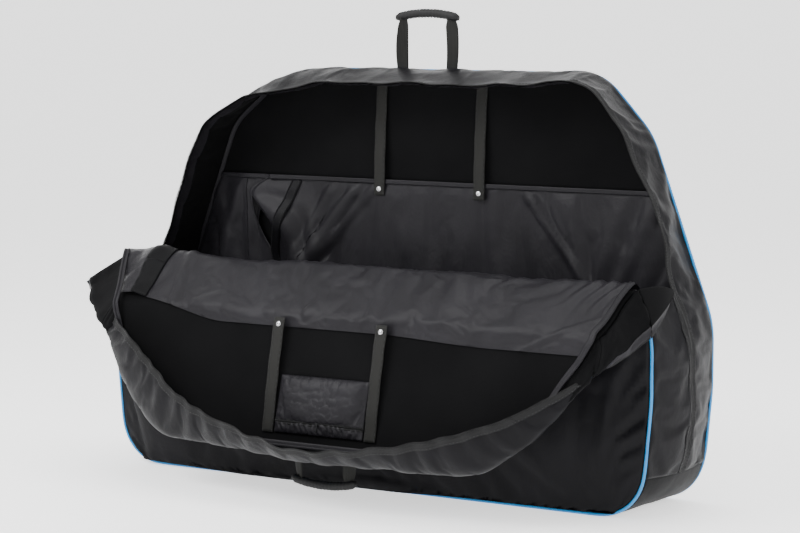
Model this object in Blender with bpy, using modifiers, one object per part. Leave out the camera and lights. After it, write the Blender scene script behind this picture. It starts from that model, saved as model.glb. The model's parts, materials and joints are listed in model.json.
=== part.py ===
# Soft bike travel bag, open: the rear half stands, the front flap is folded out and hangs down.
# X runs along the bag, Y to the back and Z up, in metres, from the centre of its underside.
# The flap's pieces are drawn where they lie in the closed bag, and empties fold them open.

from math import atan2, cos, degrees, hypot, pi, radians, sin, tan

import bmesh
import bpy
from mathutils import Matrix, Vector

# Overall size, and how far the outline draws in below and above its waist
LENGTH = 1.250
DEPTH = 0.240
HEIGHT = 0.812
BASE_TAPER = 0.021
SHOULDER_TAPER = 0.131
TOP_TAPER = 0.240
SHOULDER_DROP = 0.117
WAIST_HEIGHT = 0.125
WAIST_TO_FOLD = 0.080
BASE_RADIUS = 0.095
WAIST_RADIUS = 0.100
SHOULDER_RADIUS = 0.080
TOP_RADIUS = 0.100
ARC_STEP = 18.0
FILLET_LIMIT_SHARE = 0.5

# Thicknesses and clearances
FABRIC = 0.002
FOAM = 0.006
SEAM_GAP = 0.0003
FOLD_GAP = 0.001
PIPING_RADIUS = 0.003
OVERRUN = 0.010

# Base
BASE_TURN_UP = 0.080
BOARD_END_CLEAR = 0.009
BOARD_SIDE_CLEAR = 0.010
BOARD_THICK = 0.0035
PAD_THICK = 0.008

# Wheel pockets, as sheets that stand off the foam at their sides
POCKET_EDGE_DROP = 0.224
POCKET_SPACE = 0.008
POCKET_INSET = 0.014
POCKET_BOTTOM_Z = 0.030

# Zip: tapes on both sides of its centre line, sliders and their pulls
TAPE_WIDTH = 0.013
TAPE_SPLIT = 0.0018
TAPE_THICK = 0.002
SLIDER_BELOW_FOLD = 0.016
SLIDER_LENGTH = 0.014
SLIDER_WIDTH = 0.010
SLIDER_PLATE = 0.0018
SLIDER_WEB = 0.0010
SLIDER_CLEAR = 0.0005
PULL_LENGTH = 0.026
PULL_WIDTH = 0.006
PULL_THICK = 0.0015

# Folds of the front half, closed to open
ROOT_LENGTH = 0.131
TIP_BELOW_POCKET_EDGE = 0.033
FOLD_ANGLE = 127.5
TIP_ANGLE = 38.0
WING_ANGLE = 105.0
SLEEVE_THICK = 0.0015

# Webbing straps with snaps
STRAP_SPACING = 0.236
STRAP_WIDTH = 0.025
STRAP_THICK = 0.0015
STRAP_DROP = 0.029
STRAP_PAST_POCKET_EDGE = 0.032
FLAP_STRAP_ABOVE_FOLD = 0.007
SNAP_ABOVE_END = 0.013
STUD_RADIUS = 0.006
STUD_THICK = 0.0015
CAP_RADIUS = 0.0065
CAP_THICK = 0.0025
DISC_SIDES = 20

# Accessory pocket on the flap, and its own small zip
ACCESSORY_CLEAR = 0.0035
ACCESSORY_DROP = 0.030
ACCESSORY_HEIGHT = 0.112
ACCESSORY_SPACE = 0.007
ACCESSORY_WALL = 0.0012
ACCESSORY_ZIP_DROP = 0.024
ACCESSORY_SLIT = 0.0055
ACCESSORY_SLIT_CLEAR = 0.017
SMALL_SLIDER_LENGTH = 0.010
SMALL_SLIDER_WIDTH = 0.007
SMALL_PULL_LENGTH = 0.016
SMALL_PULL_WIDTH = 0.004

# Carrying handles
HANDLE_SPACING = 0.112
HANDLE_RISE = 0.130
GRIP_OVERHANG = 0.0045
GRIP_HEIGHT = 0.022
GRIP_DEPTH = 0.013
GRIP_ROUND = 0.005
WEB_THICK = 0.0025
REAR_HANDLE_X = -0.018
REAR_HANDLE_DROP = 0.022
FRONT_HANDLE_DROP = 0.070

# Heights that follow from these
POCKET_EDGE_Z = HEIGHT - POCKET_EDGE_DROP
TIP_Z = POCKET_EDGE_Z - TIP_BELOW_POCKET_EDGE
FOLD_Z = TIP_Z - ROOT_LENGTH
SLIDER_Z = FOLD_Z - SLIDER_BELOW_FOLD
WAIST_HIGH_Z = FOLD_Z - WAIST_TO_FOLD
WAIST_LOW_Z = WAIST_HIGH_Z - WAIST_HEIGHT
SHOULDER_Z = HEIGHT - SHOULDER_DROP
STRAP_TOP_Z = HEIGHT - STRAP_DROP
STRAP_END_Z = POCKET_EDGE_Z - STRAP_PAST_POCKET_EDGE
FLAP_STRAP_END_Z = TIP_Z + FLAP_STRAP_ABOVE_FOLD
ACCESSORY_HIGH_Z = HEIGHT - ACCESSORY_DROP
ACCESSORY_LOW_Z = ACCESSORY_HIGH_Z - ACCESSORY_HEIGHT
ACCESSORY_ZIP_Z = ACCESSORY_HIGH_Z - ACCESSORY_ZIP_DROP

# Half widths, depths and clearances that follow from these
WAIST_HALF = LENGTH / 2
BASE_HALF = WAIST_HALF - BASE_TAPER
SHOULDER_HALF = WAIST_HALF - SHOULDER_TAPER
TOP_HALF = WAIST_HALF - TOP_TAPER
HALF_DEPTH = DEPTH / 2
WALL_INSET = 2 * PIPING_RADIUS + SEAM_GAP
WALL_INNER = HALF_DEPTH - FABRIC
FOAM_OUTER = WALL_INNER - SEAM_GAP
FOAM_INNER = FOAM_OUTER - FOAM
POCKET_OUTER = FOAM_INNER - SEAM_GAP
POCKET_INNER = POCKET_OUTER - POCKET_SPACE - FABRIC
GUSSET_END = HALF_DEPTH - WALL_INSET
GUSSET_START = TAPE_WIDTH + SEAM_GAP
LINING_START = GUSSET_START + TAPE_WIDTH
STRAP_HALF = STRAP_SPACING / 2
ACCESSORY_HALF = STRAP_HALF - STRAP_WIDTH / 2 - ACCESSORY_CLEAR
ACCESSORY_SLIT_HALF = ACCESSORY_HALF - ACCESSORY_SLIT_CLEAR
GRIP_LENGTH = HANDLE_SPACING + STRAP_WIDTH + 2 * GRIP_OVERHANG
CORNERS = (
    (BASE_HALF, 0.0, BASE_RADIUS),
    (WAIST_HALF, WAIST_LOW_Z, WAIST_RADIUS),
    (WAIST_HALF, WAIST_HIGH_Z, WAIST_RADIUS),
    (SHOULDER_HALF, SHOULDER_Z, SHOULDER_RADIUS),
    (TOP_HALF, HEIGHT, TOP_RADIUS),
)


# Scene set-up
def clear_scene():
    for obj in list(bpy.data.objects):
        bpy.data.objects.remove(obj, do_unlink=True)


def new_collection(name):
    collection = bpy.data.collections.new(name)
    bpy.context.scene.collection.children.link(collection)
    return collection


def material(name, color, roughness, metallic=0.0):
    mat = bpy.data.materials.new(name)
    mat.use_nodes = True
    shader = mat.node_tree.nodes["Principled BSDF"]
    shader.inputs["Base Color"].default_value = (*color, 1.0)
    shader.inputs["Roughness"].default_value = roughness
    shader.inputs["Metallic"].default_value = metallic
    mat.diffuse_color = (*color, 1.0)
    return mat


clear_scene()
BAG = new_collection("soft_bike_travel_bag")
CUTTERS = new_collection("cutters")


# Outline of the bag, at any distance inside its outermost edge
def inset_lines(inset):
    points = [(0.0, 0.0)] + [(x, z) for x, z, radius in CORNERS] + [(0.0, HEIGHT)]
    lines = []
    for (x0, z0), (x1, z1) in zip(points[:-1], points[1:]):
        run = hypot(x1 - x0, z1 - z0)
        dx, dz = (x1 - x0) / run, (z1 - z0) / run
        lines.append((x0 - dz * inset, z0 + dx * inset, dx, dz))
    return lines


def crossing(first, second):
    x0, z0, dx0, dz0 = first
    x1, z1, dx1, dz1 = second
    det = dx1 * dz0 - dx0 * dz1
    along = ((x1 - x0) * -dz1 + (z1 - z0) * dx1) / det
    return x0 + dx0 * along, z0 + dz0 * along


def shorter_side(index):
    """Length of the shorter of the two straight sides that meet at a corner."""
    points = [(0.0, 0.0)] + [(x, z) for x, z, radius in CORNERS] + [(0.0, HEIGHT)]
    here = Vector(points[index + 1])
    return min((here - Vector(points[index])).length, (here - Vector(points[index + 2])).length)


def half_outline(inset):
    """Right half from the bottom's middle to the top's middle, with round corners."""
    lines = inset_lines(inset)
    points = [(0.0, inset)]
    for index, (x, z, radius) in enumerate(CORNERS):
        before, after = lines[index], lines[index + 1]
        cx, cz = crossing(before, after)
        turn = atan2(
            before[2] * after[3] - before[3] * after[2], before[2] * after[2] + before[3] * after[3]
        )
        radius = min(radius, shorter_side(index) * FILLET_LIMIT_SHARE / tan(turn / 2)) - inset
        reach = radius * tan(turn / 2)
        start = Vector((cx - before[2] * reach, cz - before[3] * reach))
        centre = start + Vector((-before[3], before[2])) * radius
        steps = max(1, round(degrees(turn) / ARC_STEP))
        for step in range(steps + 1):
            arm = (start - centre).copy()
            arm.rotate(Matrix.Rotation(turn * step / steps, 2))
            points.append(tuple(centre + arm))
    points.append((0.0, HEIGHT - inset))
    return points


def clip(points, low, high):
    """The stretch of a rising half outline between two heights."""
    kept = []
    for (x0, z0), (x1, z1) in zip(points[:-1], points[1:]):
        ends = [(x0, z0), (x1, z1)]
        for level in (low, high):
            if min(z0, z1) < level < max(z0, z1):
                share = (level - z0) / (z1 - z0)
                ends.insert(1, (x0 + (x1 - x0) * share, level))
        ends.sort(key=lambda end: hypot(end[0] - x0, end[1] - z0))
        for end in ends:
            if low - 1e-9 <= end[1] <= high + 1e-9 and end not in kept[-1:]:
                kept.append(end)
    return kept


def outline_x(inset, z):
    for (x0, z0), (x1, z1) in zip(half_outline(inset)[:-1], half_outline(inset)[1:]):
        if z0 <= z <= z1 and z1 > z0:
            return x0 + (x1 - x0) * (z - z0) / (z1 - z0)
    return 0.0


def mirrored(points):
    return [(-x, z) for x, z in points]


def panel_outline(inset, low, high):
    right = clip(half_outline(inset), low, high)
    left = [point for point in reversed(mirrored(right)) if point[0] < -1e-6]
    return [point for point in right if point[0] >= -1e-6] + left


def side_band(inset, thick, low, high, side):
    outer = clip(half_outline(inset), low, high)
    inner = clip(half_outline(inset + thick), low, high)
    band = outer + inner[::-1]
    return band if side > 0 else mirrored(band)[::-1]


def arch_band(inset, thick, low):
    outer = clip(half_outline(inset), low, HEIGHT)
    inner = clip(half_outline(inset + thick), low, HEIGHT)
    whole_outer = outer + mirrored(outer)[::-1][1:]
    whole_inner = inner + mirrored(inner)[::-1][1:]
    return whole_outer + whole_inner[::-1]


def tray_band(inset, thick, high):
    outer = clip(half_outline(inset), 0.0, high)
    inner = clip(half_outline(inset + thick), 0.0, high)
    whole_outer = mirrored(outer)[::-1] + outer[1:]
    whole_inner = mirrored(inner)[::-1] + inner[1:]
    return whole_outer + whole_inner[::-1]


# Carriers: each is an empty on its joint's axis, remembered with its place in the closed bag
CLOSED_PLACE = {}


def carrier(name, place, turn=None, parent=None):
    empty = bpy.data.objects.new(name, None)
    BAG.objects.link(empty)
    CLOSED_PLACE[name] = Vector(place)
    hang(empty, parent, place)
    if turn is not None:
        empty.matrix_basis = Matrix.Translation(empty.location) @ turn
    return empty


def hang(obj, parent, place):
    """Parent obj and set its location from its place in the closed bag."""
    obj.parent = parent
    obj.location = Vector(place) - (CLOSED_PLACE[parent.name] if parent else Vector())


def curve_object(name, points, dimensions, cyclic):
    data = bpy.data.curves.new(name, "CURVE")
    data.dimensions = dimensions
    spline = data.splines.new("POLY")
    spline.points.add(len(points) - 1)
    for point, co in zip(spline.points, points):
        point.co = (*co, 0.0, 1.0) if len(co) == 2 else (*co, 1.0)
    spline.use_cyclic_u = cyclic
    obj = bpy.data.objects.new(name, data)
    BAG.objects.link(obj)
    return obj


def flat_curve(name, points, thick):
    obj = curve_object(name, points, "2D", True)
    obj.data.fill_mode = "BOTH"
    obj.data.extrude = thick / 2
    return obj


def flat_piece(name, points, near, far, mat, parent=None):
    """An outline in X and Z of the closed bag, made solid between two depths."""
    origin = CLOSED_PLACE[parent.name] if parent else Vector()
    local = [(x - origin.x, z - origin.z) for x, z in points]
    obj = flat_curve(name, local, abs(far - near))
    obj.rotation_euler = (pi / 2, 0.0, 0.0)
    hang(obj, parent, (origin.x, (near + far) / 2, origin.z))
    obj.data.materials.append(mat)
    return obj


def tube(name, points, mat, parent=None):
    origin = CLOSED_PLACE[parent.name] if parent else Vector()
    local = [tuple(Vector(point) - origin) for point in points]
    obj = curve_object(name, local, "3D", False)
    obj.data.bevel_depth = PIPING_RADIUS
    obj.data.bevel_resolution = 1
    obj.data.use_fill_caps = True
    hang(obj, parent, origin)
    obj.data.materials.append(mat)
    return obj


def box(name, low, high, mat, parent=None, collection=None):
    """A box between two corners in its parent's own directions."""
    mesh = bpy.data.meshes.new(name)
    bm = bmesh.new()
    bmesh.ops.create_cube(bm, size=1.0)
    low, high = Vector(low), Vector(high)
    bmesh.ops.scale(bm, vec=high - low, verts=bm.verts)
    bmesh.ops.translate(bm, vec=(low + high) / 2, verts=bm.verts)
    bm.to_mesh(mesh)
    bm.free()
    obj = bpy.data.objects.new(name, mesh)
    (collection or BAG).objects.link(obj)
    obj.parent = parent
    if mat:
        mesh.materials.append(mat)
    return obj


def disc(name, centre, radius, near, far, mat, parent=None):
    """A short cylinder whose axis runs along Y."""
    mesh = bpy.data.meshes.new(name)
    bm = bmesh.new()
    bmesh.ops.create_cone(
        bm, cap_ends=True, segments=DISC_SIDES, radius1=radius, radius2=radius, depth=abs(far - near)
    )
    bmesh.ops.rotate(bm, verts=bm.verts, matrix=Matrix.Rotation(pi / 2, 3, "X"))
    bmesh.ops.translate(bm, vec=(centre[0], (near + far) / 2, centre[1]), verts=bm.verts)
    bm.to_mesh(mesh)
    bm.free()
    mesh.materials.append(mat)
    obj = bpy.data.objects.new(name, mesh)
    BAG.objects.link(obj)
    obj.parent = parent
    return obj


def to_mesh(curve, mat, collection):
    bpy.context.view_layer.update()
    name = curve.name
    evaluated = curve.evaluated_get(bpy.context.evaluated_depsgraph_get())
    mesh = bpy.data.meshes.new_from_object(evaluated)
    bm = bmesh.new()
    bm.from_mesh(mesh)
    bmesh.ops.remove_doubles(bm, verts=bm.verts, dist=SEAM_GAP / 10)
    bm.to_mesh(mesh)
    bm.free()
    mesh.materials.clear()
    mesh.materials.append(mat)
    world = curve.matrix_world.copy()
    parent = curve.parent
    bpy.data.objects.remove(curve, do_unlink=True)
    obj = bpy.data.objects.new(name, mesh)
    collection.objects.link(obj)
    obj.parent = parent
    obj.matrix_world = world
    return obj


def cut(target, cutter):
    cutter.hide_render = True
    cutter.display_type = "WIRE"
    modifier = target.modifiers.new(cutter.name, "BOOLEAN")
    modifier.operation = "DIFFERENCE"
    modifier.solver = "EXACT"
    modifier.object = cutter


def side_name(side):
    return "right" if side > 0 else "left"


# Materials
OUTER = material("outer_nylon", (0.018, 0.018, 0.020), 0.55)
INNER = material("inner_nylon", (0.045, 0.043, 0.050), 0.45)
FOAM_BLACK = material("foam_lining", (0.007, 0.007, 0.008), 0.95)
WEBBING = material("webbing", (0.035, 0.035, 0.032), 0.80)
PIPING = material("blue_piping", (0.010, 0.350, 0.750), 0.40)
ZIP_TAPE = material("zip_tape", (0.012, 0.012, 0.013), 0.75)
SLIDER = material("black_metal", (0.020, 0.020, 0.021), 0.35, 0.9)
SNAP = material("snap_metal", (0.600, 0.600, 0.610), 0.25, 1.0)
RUBBER = material("grip_rubber", (0.022, 0.022, 0.023), 0.65)
BOARD = material("base_board", (0.030, 0.030, 0.032), 0.60)


# Carriers of the folding half
flap_root = carrier(
    "flap_root_axis", (0.0, -HALF_DEPTH, FOLD_Z), Matrix.Rotation(radians(FOLD_ANGLE), 4, "X")
)
flap_tip = carrier(
    "flap_tip_axis", (0.0, -HALF_DEPTH, TIP_Z), Matrix.Rotation(radians(TIP_ANGLE), 4, "X"), flap_root
)
LOW_PIECE = (0.0, FOLD_Z - FOLD_GAP / 2)
ROOT_PIECE = (FOLD_Z + FOLD_GAP / 2, TIP_Z - FOLD_GAP / 2)
TIP_PIECE = (TIP_Z + FOLD_GAP / 2, HEIGHT)


def base_pieces():
    flat_piece(
        "base_fabric", tray_band(0.0, FABRIC, BASE_TURN_UP), -GUSSET_END, GUSSET_END, OUTER
    )
    board_low = FABRIC + SEAM_GAP
    board_top = board_low + BOARD_THICK
    long_half = BASE_HALF - BASE_RADIUS - BOARD_END_CLEAR
    half = HALF_DEPTH - BOARD_SIDE_CLEAR
    box("base_board", (-long_half, -half, board_low), (long_half, half, board_top), BOARD)
    pad_low = board_top + SEAM_GAP
    pad_high = (long_half, half, pad_low + PAD_THICK)
    box("base_pad", (-long_half, -half, pad_low), pad_high, FOAM_BLACK)


def wall(prefix, span, facing, parent=None):
    """Outer fabric and foam of one panel; facing is 1 at the back and -1 at the front."""
    outline = panel_outline(WALL_INSET, *span)
    flat_piece(prefix + "_fabric", outline, facing * WALL_INNER, facing * HALF_DEPTH, OUTER, parent)
    flat_piece(prefix + "_foam", outline, facing * FOAM_INNER, facing * FOAM_OUTER, FOAM_BLACK, parent)


def wheel_pocket(name, low, high, facing, bottom, parent=None):
    """A sheet that stands off the foam, closed at its sides and, at its foot, at the bottom."""
    near, far = facing * POCKET_INNER, facing * POCKET_OUTER
    sheet = flat_piece(name, panel_outline(POCKET_INSET, low, high), near, far, INNER, parent)
    pocket = to_mesh(sheet, INNER, BAG)
    foot = low + FABRIC if bottom else low
    outline = panel_outline(POCKET_INSET + FABRIC, foot, high)
    hollow = flat_piece(
        name + "_hollow",
        stretched(outline, foot, high, foot if bottom else foot - OVERRUN, high + OVERRUN),
        facing * (POCKET_INNER + FABRIC),
        facing * (POCKET_OUTER + OVERRUN),
        INNER,
        parent,
    )
    cut(pocket, to_mesh(hollow, INNER, CUTTERS))
    return pocket


def stretched(points, low, high, new_low, new_high):
    """The same outline with its lowest and highest edges moved to new heights."""
    moved = []
    for x, z in points:
        if abs(z - low) < SEAM_GAP:
            z = new_low
        elif abs(z - high) < SEAM_GAP:
            z = new_high
        moved.append((x, z))
    return moved


def gusset(prefix, low, facing, parent=None):
    """Arch of fabric over the top of one half, with its foam lining and its zip tape."""
    flat_piece(
        prefix + "_gusset",
        arch_band(0.0, FABRIC, low),
        facing * GUSSET_START,
        facing * GUSSET_END,
        OUTER,
        parent,
    )
    flat_piece(
        prefix + "_lining",
        arch_band(FABRIC + SEAM_GAP, WALL_INSET - FABRIC - 2 * SEAM_GAP, low + OVERRUN),
        facing * LINING_START,
        facing * POCKET_OUTER,
        FOAM_BLACK,
        parent,
    )
    flat_piece(
        prefix + "_zip_tape",
        arch_band(0.0, TAPE_THICK, low),
        facing * TAPE_SPLIT / 2,
        facing * TAPE_WIDTH,
        ZIP_TAPE,
        parent,
    )


def piping_route(points, facing):
    return [(x, facing * (HALF_DEPTH - PIPING_RADIUS), z) for x, z in points]


def loop_points(low, high):
    right = clip(half_outline(PIPING_RADIUS), low, high)
    return right[1:] + mirrored(right)[::-1][1:-1]


def rear_half():
    wall("rear_wall", (0.0, HEIGHT), 1)
    wheel_pocket("rear_wheel_pocket", POCKET_BOTTOM_Z, POCKET_EDGE_Z, 1, True)
    gusset("rear", BASE_TURN_UP + FOLD_GAP / 2, 1)
    loop = half_outline(PIPING_RADIUS)
    whole = loop[:-1] + mirrored(loop)[::-1][1:]
    whole[-1] = (-FOLD_GAP, whole[-1][1])
    tube("rear_piping", piping_route(whole, 1), PIPING)


def front_lower_half():
    wall("front_wall", LOW_PIECE, -1)
    wheel_pocket("front_wheel_pocket", POCKET_BOTTOM_Z, LOW_PIECE[1], -1, True)
    low = BASE_TURN_UP + FOLD_GAP / 2
    for side in (1, -1):
        name = side_name(side)
        flat_piece(
            "front_gusset_" + name,
            side_band(0.0, FABRIC, low, LOW_PIECE[1], side),
            -GUSSET_START,
            -GUSSET_END,
            OUTER,
        )
        flat_piece(
            "front_zip_tape_" + name,
            side_band(0.0, TAPE_THICK, low, SLIDER_Z + SLIDER_LENGTH / 2, side),
            -TAPE_SPLIT / 2,
            -TAPE_WIDTH,
            ZIP_TAPE,
        )
    right = clip(half_outline(PIPING_RADIUS), 0.0, LOW_PIECE[1])
    tube("front_piping", piping_route(mirrored(right)[::-1] + right[1:], -1), PIPING)


def fold_sleeve():
    """Pocket fabric that rounds the fold from the lower wall to the flap."""
    outer = HALF_DEPTH - POCKET_INNER
    inner = outer - SLEEVE_THICK
    trim = atan2(SEAM_GAP, outer)
    start, end = trim, radians(FOLD_ANGLE) - trim
    steps = round(FOLD_ANGLE / ARC_STEP)
    angles = [start + (end - start) * step / steps for step in range(steps + 1)]
    profile = [(outer * cos(angle), outer * sin(angle)) for angle in angles]
    profile += [(inner * cos(angle), inner * sin(angle)) for angle in reversed(angles)]
    half = outline_x(POCKET_INSET, ROOT_PIECE[0])
    sleeve = flat_curve("fold_sleeve", profile, 2 * half)
    axes = Matrix(((0, 0, 1), (1, 0, 0), (0, 1, 0))).to_4x4()
    sleeve.matrix_basis = Matrix.Translation((0.0, -HALF_DEPTH, FOLD_Z)) @ axes
    sleeve.data.materials.append(INNER)


def flap_pieces():
    wall("flap_root", ROOT_PIECE, -1, flap_root)
    wheel_pocket("flap_root_pocket", *ROOT_PIECE, -1, False, flap_root)
    for side in (1, -1):
        run = clip(half_outline(PIPING_RADIUS), *ROOT_PIECE)
        run = run if side > 0 else mirrored(run)
        tube("flap_root_piping_" + side_name(side), piping_route(run, -1), PIPING, flap_root)
    wall("flap_tip", TIP_PIECE, -1, flap_tip)
    wheel_pocket("flap_tip_pocket", TIP_PIECE[0], POCKET_EDGE_Z, -1, False, flap_tip)
    gusset("flap_tip", TIP_PIECE[0] + WALL_INSET, -1, flap_tip)
    run = clip(half_outline(PIPING_RADIUS), TIP_PIECE[0], HEIGHT)
    run = run + mirrored(run)[::-1][1:]
    tube("flap_tip_piping", piping_route(run, -1), PIPING, flap_tip)


def side_slope():
    """Angle from Z of the straight side above the waist, leaning towards the middle."""
    return atan2(SHOULDER_HALF - WAIST_HALF, SHOULDER_Z - WAIST_HIGH_Z)


def side_carrier(name, side, inset, place_y, z, fold=0.0, parent=None):
    """An empty on the straight side: its Z runs up the side and its Y towards the back."""
    x = side * outline_x(inset, z)
    turn = Matrix.Rotation(side * side_slope(), 4, "Y") @ Matrix.Rotation(fold, 4, "Z")
    return carrier(name, (x, place_y, z), turn, parent)


def flap_wings():
    """Side gussets of the flap: each turns about its own seam, and lies splayed when it is open."""
    seam = GUSSET_END - SEAM_GAP
    for side in (1, -1):
        name = side_name(side)
        axis = side_carrier(
            "wing_axis_" + name,
            side,
            PIPING_RADIUS,
            -seam,
            ROOT_PIECE[0],
            -side * radians(WING_ANGLE),
            flap_root,
        )
        length = (ROOT_PIECE[1] - ROOT_PIECE[0]) / cos(side_slope())
        trim = WALL_INSET / 2
        depth = seam - TAPE_SPLIT / 2
        edge = sorted((0.0, -side * FABRIC))
        box("flap_wing_" + name, (edge[0], 0.0, trim), (edge[1], depth, length - trim), OUTER, axis)


def zip_sliders():
    for side in (1, -1):
        name = side_name(side)
        axis = side_carrier("slider_axis_" + name, side, 0.0, 0.0, SLIDER_Z)
        outer = SLIDER_CLEAR
        inner = -TAPE_THICK - SLIDER_CLEAR
        half, web = SLIDER_WIDTH / 2, SLIDER_WEB / 2
        profile = [
            (outer + SLIDER_PLATE, -half),
            (outer + SLIDER_PLATE, half),
            (outer, half),
            (outer, web),
            (inner, web),
            (inner, half),
            (inner - SLIDER_PLATE, half),
            (inner - SLIDER_PLATE, -half),
            (inner, -half),
            (inner, -web),
            (outer, -web),
            (outer, -half),
        ]
        profile = [(side * x, y) for x, y in profile]
        slider = flat_curve("zip_slider_" + name, profile, SLIDER_LENGTH)
        slider.parent = axis
        slider.data.materials.append(SLIDER)
        pull_near = outer + SLIDER_PLATE + SEAM_GAP
        edge = sorted((side * pull_near, side * (pull_near + PULL_THICK)))
        half_pull = PULL_WIDTH / 2
        low = (edge[0], -half_pull, -PULL_LENGTH)
        high = (edge[1], half_pull, 0.0)
        box("zip_pull_" + name, low, high, SLIDER, axis)


def snap_places(facing):
    """Depths of the foam side, the stud and the strap's back where a strap is snapped down."""
    stud_near = POCKET_INNER - SEAM_GAP
    stud_far = stud_near - STUD_THICK
    strap_back = stud_far - 2 * SEAM_GAP
    return facing * stud_near, facing * stud_far, strap_back


def straps(prefix, end_z, facing, parent=None):
    """Two webbing straps, sewn in near the top edge and snapped to the wheel pocket."""
    stud_near, stud_far, strap_back = snap_places(facing)
    snap_z = end_z + SNAP_ABOVE_END
    top = FOAM_INNER - SEAM_GAP
    tilt = atan2(top - strap_back, STRAP_TOP_Z - snap_z)
    length = (STRAP_TOP_Z - end_z) / cos(tilt)
    for side in (1, -1):
        name = side_name(side)
        x = side * STRAP_HALF
        turn = Matrix.Rotation(-facing * tilt, 4, "X")
        axis = carrier(prefix + "_strap_axis_" + name, (x, facing * top, STRAP_TOP_Z), turn, parent)
        face = sorted((0.0, -facing * STRAP_THICK))
        half = STRAP_WIDTH / 2
        low, high = (-half, face[0], -length), (half, face[1], 0.0)
        box(prefix + "_strap_" + name, low, high, WEBBING, axis)
        cap_near = -facing * (STRAP_THICK + SEAM_GAP)
        cap_far = cap_near - facing * CAP_THICK
        cap_z = SNAP_ABOVE_END - length
        disc(prefix + "_snap_cap_" + name, (0.0, cap_z), CAP_RADIUS, cap_near, cap_far, SNAP, axis)
        origin = CLOSED_PLACE[parent.name] if parent else Vector()
        disc(
            prefix + "_snap_stud_" + name,
            (x - origin.x, snap_z - origin.z),
            STUD_RADIUS,
            stud_near - origin.y,
            stud_far - origin.y,
            SNAP,
            parent,
        )


def handle(prefix, x, facing, z, turn, parent=None):
    """Two webbing legs and a rubber grip, which swing about the foot of the legs."""
    gap = WEB_THICK / 2 + SEAM_GAP
    place = (x, facing * (HALF_DEPTH + gap), z)
    axis = carrier(prefix + "_handle_axis", place, Matrix.Rotation(turn, 4, "X"), parent)
    leg_top = HANDLE_RISE - GRIP_HEIGHT / 2 - SEAM_GAP
    for side in (1, -1):
        centre = side * HANDLE_SPACING / 2
        low = (centre - STRAP_WIDTH / 2, -WEB_THICK / 2, 0.0)
        high = (centre + STRAP_WIDTH / 2, WEB_THICK / 2, leg_top)
        box(prefix + "_handle_leg_" + side_name(side), low, high, WEBBING, axis)
    low = (-GRIP_LENGTH / 2, -GRIP_DEPTH / 2, HANDLE_RISE - GRIP_HEIGHT / 2)
    high = (GRIP_LENGTH / 2, GRIP_DEPTH / 2, HANDLE_RISE + GRIP_HEIGHT / 2)
    grip = box(prefix + "_handle_grip", low, high, RUBBER, axis)
    bevel = grip.modifiers.new("rounding", "BEVEL")
    bevel.width = GRIP_ROUND
    bevel.segments = 3


def rectangle(half, low, high):
    return [(-half, low), (half, low), (half, high), (-half, high)]


def accessory_pocket():
    """A small pouch on the flap's foam, open through its zip slit."""
    inner_face = POCKET_OUTER - ACCESSORY_SPACE
    outline = rectangle(ACCESSORY_HALF, ACCESSORY_LOW_Z, ACCESSORY_HIGH_Z)
    block = flat_piece(
        "accessory_pocket", outline, -POCKET_OUTER, ACCESSORY_WALL - inner_face, INNER, flap_tip
    )
    pocket = to_mesh(block, INNER, BAG)
    wall_thick = ACCESSORY_WALL
    hollow_outline = rectangle(
        ACCESSORY_HALF - wall_thick, ACCESSORY_LOW_Z + wall_thick, ACCESSORY_HIGH_Z - wall_thick
    )
    hollow = flat_piece(
        "accessory_hollow", hollow_outline, -POCKET_OUTER - OVERRUN, -inner_face, INNER, flap_tip
    )
    cut(pocket, to_mesh(hollow, INNER, CUTTERS))
    slit_low = ACCESSORY_ZIP_Z - ACCESSORY_SLIT / 2
    slit_outline = rectangle(ACCESSORY_SLIT_HALF, slit_low, slit_low + ACCESSORY_SLIT)
    slit_near = -inner_face - wall_thick
    slit_far = OVERRUN - inner_face
    slit = flat_piece("accessory_slit", slit_outline, slit_near, slit_far, INNER, flap_tip)
    cut(pocket, to_mesh(slit, INNER, CUTTERS))
    place = (0.0, -inner_face, ACCESSORY_ZIP_Z)
    axis = carrier("accessory_slider_axis", place, None, flap_tip)
    half = SMALL_SLIDER_WIDTH / 2
    web = ACCESSORY_SLIT / 2 - SLIDER_CLEAR
    outer = ACCESSORY_WALL + SLIDER_CLEAR
    inner = -SLIDER_CLEAR
    profile = [
        (outer + SLIDER_PLATE, -half),
        (outer + SLIDER_PLATE, half),
        (outer, half),
        (outer, web),
        (inner, web),
        (inner, half),
        (inner - SLIDER_PLATE, half),
        (inner - SLIDER_PLATE, -half),
        (inner, -half),
        (inner, -web),
        (outer, -web),
        (outer, -half),
    ]
    slider = flat_curve("accessory_slider", profile, SMALL_SLIDER_LENGTH)
    slider.parent = axis
    slider.matrix_basis = Matrix(((0, 0, 1), (1, 0, 0), (0, 1, 0))).to_4x4()
    slider.data.materials.append(SLIDER)
    near = outer + SLIDER_PLATE + SEAM_GAP
    half_pull = SMALL_PULL_WIDTH / 2
    low = (-half_pull, near, 0.0)
    high = (half_pull, near + PULL_THICK, SMALL_PULL_LENGTH)
    box("accessory_pull", low, high, SLIDER, axis)


base_pieces()
rear_half()
front_lower_half()
fold_sleeve()
flap_pieces()
flap_wings()
zip_sliders()
straps("rear", STRAP_END_Z, 1)
straps("front", FLAP_STRAP_END_Z, -1, flap_tip)
accessory_pocket()
handle("rear", REAR_HANDLE_X, 1, HEIGHT - REAR_HANDLE_DROP, 0.0)
handle("front", 0.0, -1, HEIGHT - FRONT_HANDLE_DROP, pi - radians(FOLD_ANGLE + TIP_ANGLE), flap_tip)
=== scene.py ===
"""Looks of a soft bike travel bag, open: its rear half stands and its front flap hangs down.

Metres, +Z up, the bag's length along X and its back towards +Y, as in the frame.
"""

import json
import math

import bpy
import numpy as np
from mathutils import Matrix, Vector, noise


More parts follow.
